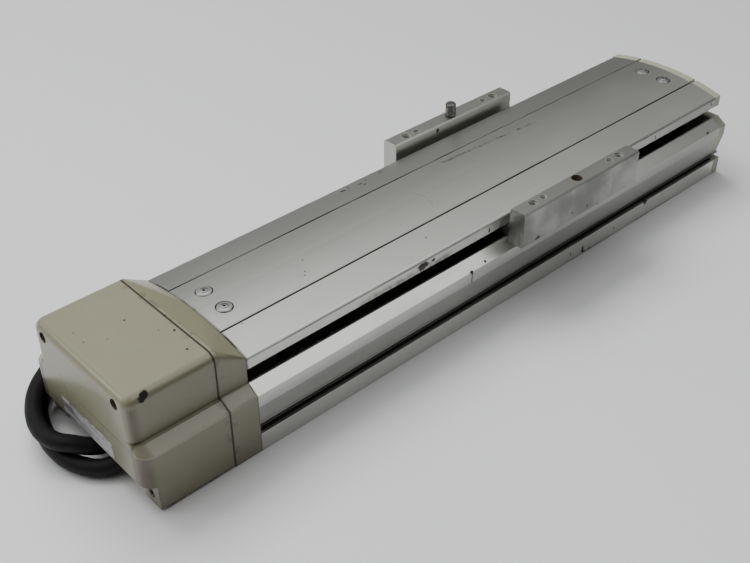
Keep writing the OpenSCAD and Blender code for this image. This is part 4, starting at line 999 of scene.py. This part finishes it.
# %% Cover screws
cover_screw = Grower("cover_screw", Head=10.2 * mm, Rise=2.2 * mm, Shank=4.0 * mm, Length=12.0 * mm,
                     Seed=5)
head_d, rise, shank_d, length, seed = cover_screw.sizes
reach, thin, base_z = head_d * 0.5, shank_d * 0.5, rise * -1
slices = [
    cover_screw.slice(base_z, rise * -0.62, reach, reach, 48),
    cover_screw.slice(rise * -0.62, rise * -0.45, reach, reach * 0.93, 48),
    cover_screw.slice(rise * -0.60, rise * -0.30, reach * 0.93, reach * 0.50, 48),
    cover_screw.slice(rise * -0.60, rise * -0.08, reach * 0.44, reach * 0.42, 40),
    cover_screw.slice(rise * -0.08, rise * 0, reach * 0.42, reach * 0.34, 40),
]
head = cover_screw.union(*slices)
dish = cover_screw.slice(rise * -0.22, rise * 0.1, reach * 0.26, reach * 0.32, 40)
hexagon = cover_screw.slice(rise * -0.72, rise * 0.1, reach * 0.21, reach * 0.21, 6)
cut = cover_screw.minus(cover_screw.minus(head, dish), hexagon)
stem = cover_screw.slice(base_z - length, base_z, thin, thin, 24)
cover_screw.result(cover_screw.scatter(cover_screw.join(cut, stem), upwards, seed))

screw_metal = Finish("cover_screw_steel", 0.34, metallic=1.0)
cover_tops = [Vector(((low.x + high.x) / 2, (low.y + high.y) / 2, high.z))
              for low, high in loose_parts("cover_screws")]
sockets = [(top.x / mm, top.y / mm, top.z / mm - 1.1, 1.3, 1.3, 0.8) for top in cover_tops]
# Painted shade: the sockets are painted nearly black.
socket_shade = screw_metal.spots(sockets, 0.0)
screw_metal.feed("Base Color", screw_metal.mix(socket_shade, grey(0.52), grey(0.01)))
stand_in(grown("cover_screws_set", cover_screw, cover_tops, screw_metal), "cover_screws")
print("cover screws at", [tuple(round(v / mm, 1) for v in top) for top in cover_tops])

# %% [markdown]
# ## Threads in the tapped holes
#
# A tapped hole shows the spiral of its thread just below the rim. Each spiral here is a
# curve with a three-sided section, swept along a Spiral node with one turn for each
# pitch: 1.25 mm for M8 and 1 mm for M6. A Geometry Nodes tree repeats it in all holes.

# %% Threads
thread = Grower("tapped_thread", Radius=3.4 * mm, Pitch=1.25 * mm, Depth=10.0 * mm, Ridge=0.42 * mm,
                Seed=7)
radius, pitch, depth, ridge, seed = thread.sizes
spiral = thread.node("GeometryNodeCurveSpiral", {
    "Resolution": 36, "Rotations": depth / pitch, "Start Radius": radius, "End Radius": radius,
    "Height": depth, "Reverse": False})
values = {"Resolution": 3, "Radius": ridge}
section = thread.node("GeometryNodeCurvePrimitiveCircle", values, mode="RADIUS")
steady = thread.node("GeometryNodeSetCurveNormal", {"Curve": spiral}, mode="Z_UP")
swept = thread.node("GeometryNodeCurveToMesh", {
    "Curve": steady, "Profile Curve": section, "Fill Caps": True})
thread.result(thread.scatter(thread.lifted(swept, depth * -1), upwards, seed))

thread_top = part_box("slider")[1].z / mm - 0.9
for name, (apart, radius, pitch, ridge) in tapped_holes.items():
    places = [Vector((slider_x + side * apart / 2, across * ear_y, thread_top)) * mm
              for side in (-1, 1) for across in (-1, 1)]
    piece = grown(name, thread, places, slider_finish, Radius=radius * mm, Pitch=pitch * mm,
                  Ridge=ridge * mm, Depth=12 * mm)
    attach(piece, "carriage")
    print(name, "at", len(places), "holes,", len(piece.data.polygons), "faces")

# %% [markdown]
# ## The ball screw
#
# The heart of the module is a shaft with a round groove wound along it, in which the
# nut's balls roll. A formula makes it: each point of a finely divided cylinder moves
# inwards by the groove's depth where its angle meets the helix, which turns once in the
# lead of 20 mm.

# %% Ball screw
track = Grower("ball_track", Radius=8.0 * mm, Lead=20.0 * mm, Length=380.0 * mm, Groove=1.35 * mm,
               Width=0.125)
radius, screw_lead, length, groove_depth, groove_width = track.sizes
bar = track.node("GeometryNodeMeshCylinder", {
    "Vertices": 96, "Side Segments": 620, "Radius": radius, "Depth": length})
px, py, pz = track.parts(track.node("GeometryNodeInputPosition"))
angle = py.math("ARCTAN2", px) / full_turn
phase = (angle - pz / screw_lead).math("FRACT") - 0.5
from_middle = (abs(phase) / groove_width).math("MINIMUM", 1.0)
shrink = (1 - from_middle * from_middle) ** 0.5 * groove_depth / radius * -1
rim = distance(px, py).math("GREATER_THAN", 1 * mm)
offset = track.vector(px * shrink * rim, py * shrink * rim, 0.0)
grooved = track.node("GeometryNodeSetPosition", {"Geometry": bar, "Offset": offset})
laid = track.node("GeometryNodeTransform", {"Geometry": grooved, "Rotation": laid_along_x})
track.result(track.copies(laid))

screw_low, screw_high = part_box("ball_screw")
rear_low, rear_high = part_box("rear_bearing")
thread_start, thread_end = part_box("front_bearings")[1].x, rear_low.x
axis_z = (screw_low.z + screw_high.z) / 2
middle = Vector(((thread_start + thread_end) / 2, 0, axis_z))
thread_piece = grown("ball_screw_thread", track, [middle], bright, crisp=50,
                     Length=thread_end - thread_start, Radius=(screw_high.z - screw_low.z) / 2)
stand_in(thread_piece, "ball_screw")


def lofted(rings):
    """A mesh in edit form through rings of as many points each, closed at both ends."""
    shape = bmesh.new()
    rings = [[shape.verts.new(place) for place in ring] for ring in rings]
    for first, second in zip(rings, rings[1:]):
        for k in range(len(first)):
            shape.faces.new((first[k - 1], first[k], second[k], second[k - 1]))
    shape.faces.new(rings[0])
    shape.faces.new(rings[-1][::-1])
    bmesh.ops.recalc_face_normals(shape, faces=shape.faces)
    return shape


def turned_bar(name, profile, node, finish, sides=48):
    """A bar turned about the screw's axis from a profile of (x, radius) in metres."""
    angles = [full_turn * k / sides for k in range(sides)]
    rings = [[(x, r * math.cos(a), axis_z + r * math.sin(a)) for a in angles] for x, r in profile]
    return stand_in(solid(name, lofted(rings), crisp=30), node, finish)


nose, tail = screw_low.x, screw_high.x
lock_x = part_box("bearing_lock_nut")[0].x
groove = rear_high.x
turned_bar("ball_screw_nose", [
    (nose, 3.5 * mm), (nose + 0.5 * mm, 4 * mm), (lock_x - 0.8 * mm, 4 * mm),
    (lock_x - 0.3 * mm, 5 * mm), (thread_start + 1 * mm, 5 * mm)], "ball_screw", bright)
turned_bar("ball_screw_tail", [
    (thread_end - 1 * mm, 5 * mm), (groove, 5 * mm), (groove, 4.6 * mm),
    (groove + 1.2 * mm, 4.6 * mm), (groove + 1.2 * mm, 5 * mm), (tail - 0.6 * mm, 5 * mm),
    (tail, 4.4 * mm)], "ball_screw", bright)
print("ball screw:", len(thread_piece.data.polygons), "faces")

# %% [markdown]
# ## Pins in the plugs
#
# Each plug has a contact pin in every hole of its face. A pin is a short brass bar with
# a pointed end, and the same kind of tree puts one at each place of the grid.

# %% Contact pins
pin = Grower("contact_pin", Radius=0.5 * mm, Length=5.4 * mm, Seed=9)
pin_r, pin_length, seed = pin.sizes
bar = pin.slice(pin_length * 0, pin_length * 0.86, pin_r, pin_r, 16)
point = pin.slice(pin_length * 0.86, pin_length, pin_r, pin_r * 0.4, 16)
pin.result(pin.scatter(pin.join(bar, point), to_back, seed, False))

pin_apart = 4 * mm
for node, columns in (("motor_connector", 2), ("encoder_connector", 3)):
    low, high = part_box(node)
    mid_y, mid_z = (low.y + high.y) / 2, (low.z + high.z) / 2 - 0.6 * mm
    places = [(high.x - 6 * mm, mid_y + (i - (columns - 1) / 2) * pin_apart,
               mid_z + (j - 0.5) * pin_apart)
              for i in range(columns) for j in range(2)]
    piece = grown(node + "_pins", pin, places, brass)
    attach(piece, "frame")
    print(node, "pins:", len(places))

# %% [markdown]
# ## The blank label strip
#
# A pale strip is stuck across the housing's front, above the leads. It is a thin foil
# with round corners, left bare, with scores along it and dirt at its edges.

# %% Label strip
def strip_outline(width, height, radius, steps=5):
    """The outline of a rectangle with round corners, as (across, up) points."""
    points = []
    for corner, (cx, cy) in enumerate(((1, 1), (-1, 1), (-1, -1), (1, -1))):
        for i in range(steps + 1):
            a = math.radians(90 * (corner + i / steps))
            points.append((cx * (width / 2 - radius) + radius * math.cos(a),
                           cy * (height / 2 - radius) + radius * math.sin(a)))
    return points


label_y, label_z = 1.5, 27
outline = strip_outline(55, 12.5, 1.2)
label = solid("label_strip", lofted([[Vector((x, label_y + a, label_z + b)) * mm for a, b in outline]
                                     for x in (x_front, x_front - 0.15)]))
foil = Finish("label_foil", 0.35, metallic=0.2)
ly, lz = foil.axes()[1:]
wear = foil.step(foil.noise(160.0, 6.0, stretch=(1, 0.5, 1.4)), 0.50, 0.64)
broken_line = foil.step(foil.noise(90.0, 4.0, stretch=(1, 0.4, 1)), 0.42, 0.56)
scores = [foil.near(lz + ly * lean, height, half, 0.3)
          for lean, height, half in ((0.01, 30.2, 0.5), (-0.02, 25.8, 0.45), (0, 28.0, 0.5))]
dent = foil.near(ly - lz * scratch_lean, 8.3, 0.4, 0.5) * foil.step(lz, 27.5, 29.0)
rim = foil.step(foil.noise(110.0, 5.0), 0.50, 0.62) * (1 - foil.near(lz, label_z, 4.2, 1.6))
marks = most(most(*scores) * broken_line, dent, rim * 0.7)
worn = foil.mix(wear * 0.5, grey(0.62), grey(0.34))
foil.feed("Base Color", foil.mix(marks * 0.9, worn, rgb(0.05, 0.05, 0.045)))
foil.feed("Roughness", 0.3 + wear * 0.3)
label.data.materials.append(foil.material)
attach(label, "frame")
print("label strip:", len(label.data.vertices), "points")

# %% [markdown]
# ## Finishes on the other nodes
#
# What stays as the CAD made it gets its finish through its material slot.

# %% Other nodes
for node, piece in frame["nodes"].items():
    piece.data.materials.clear()
    piece.data.materials.append(finishes[slot_of[node]].material)
for piece in leads.values():
    piece.data.materials.append(finishes["cable_jacket"].material)
print("finished nodes:", len(slot_of))
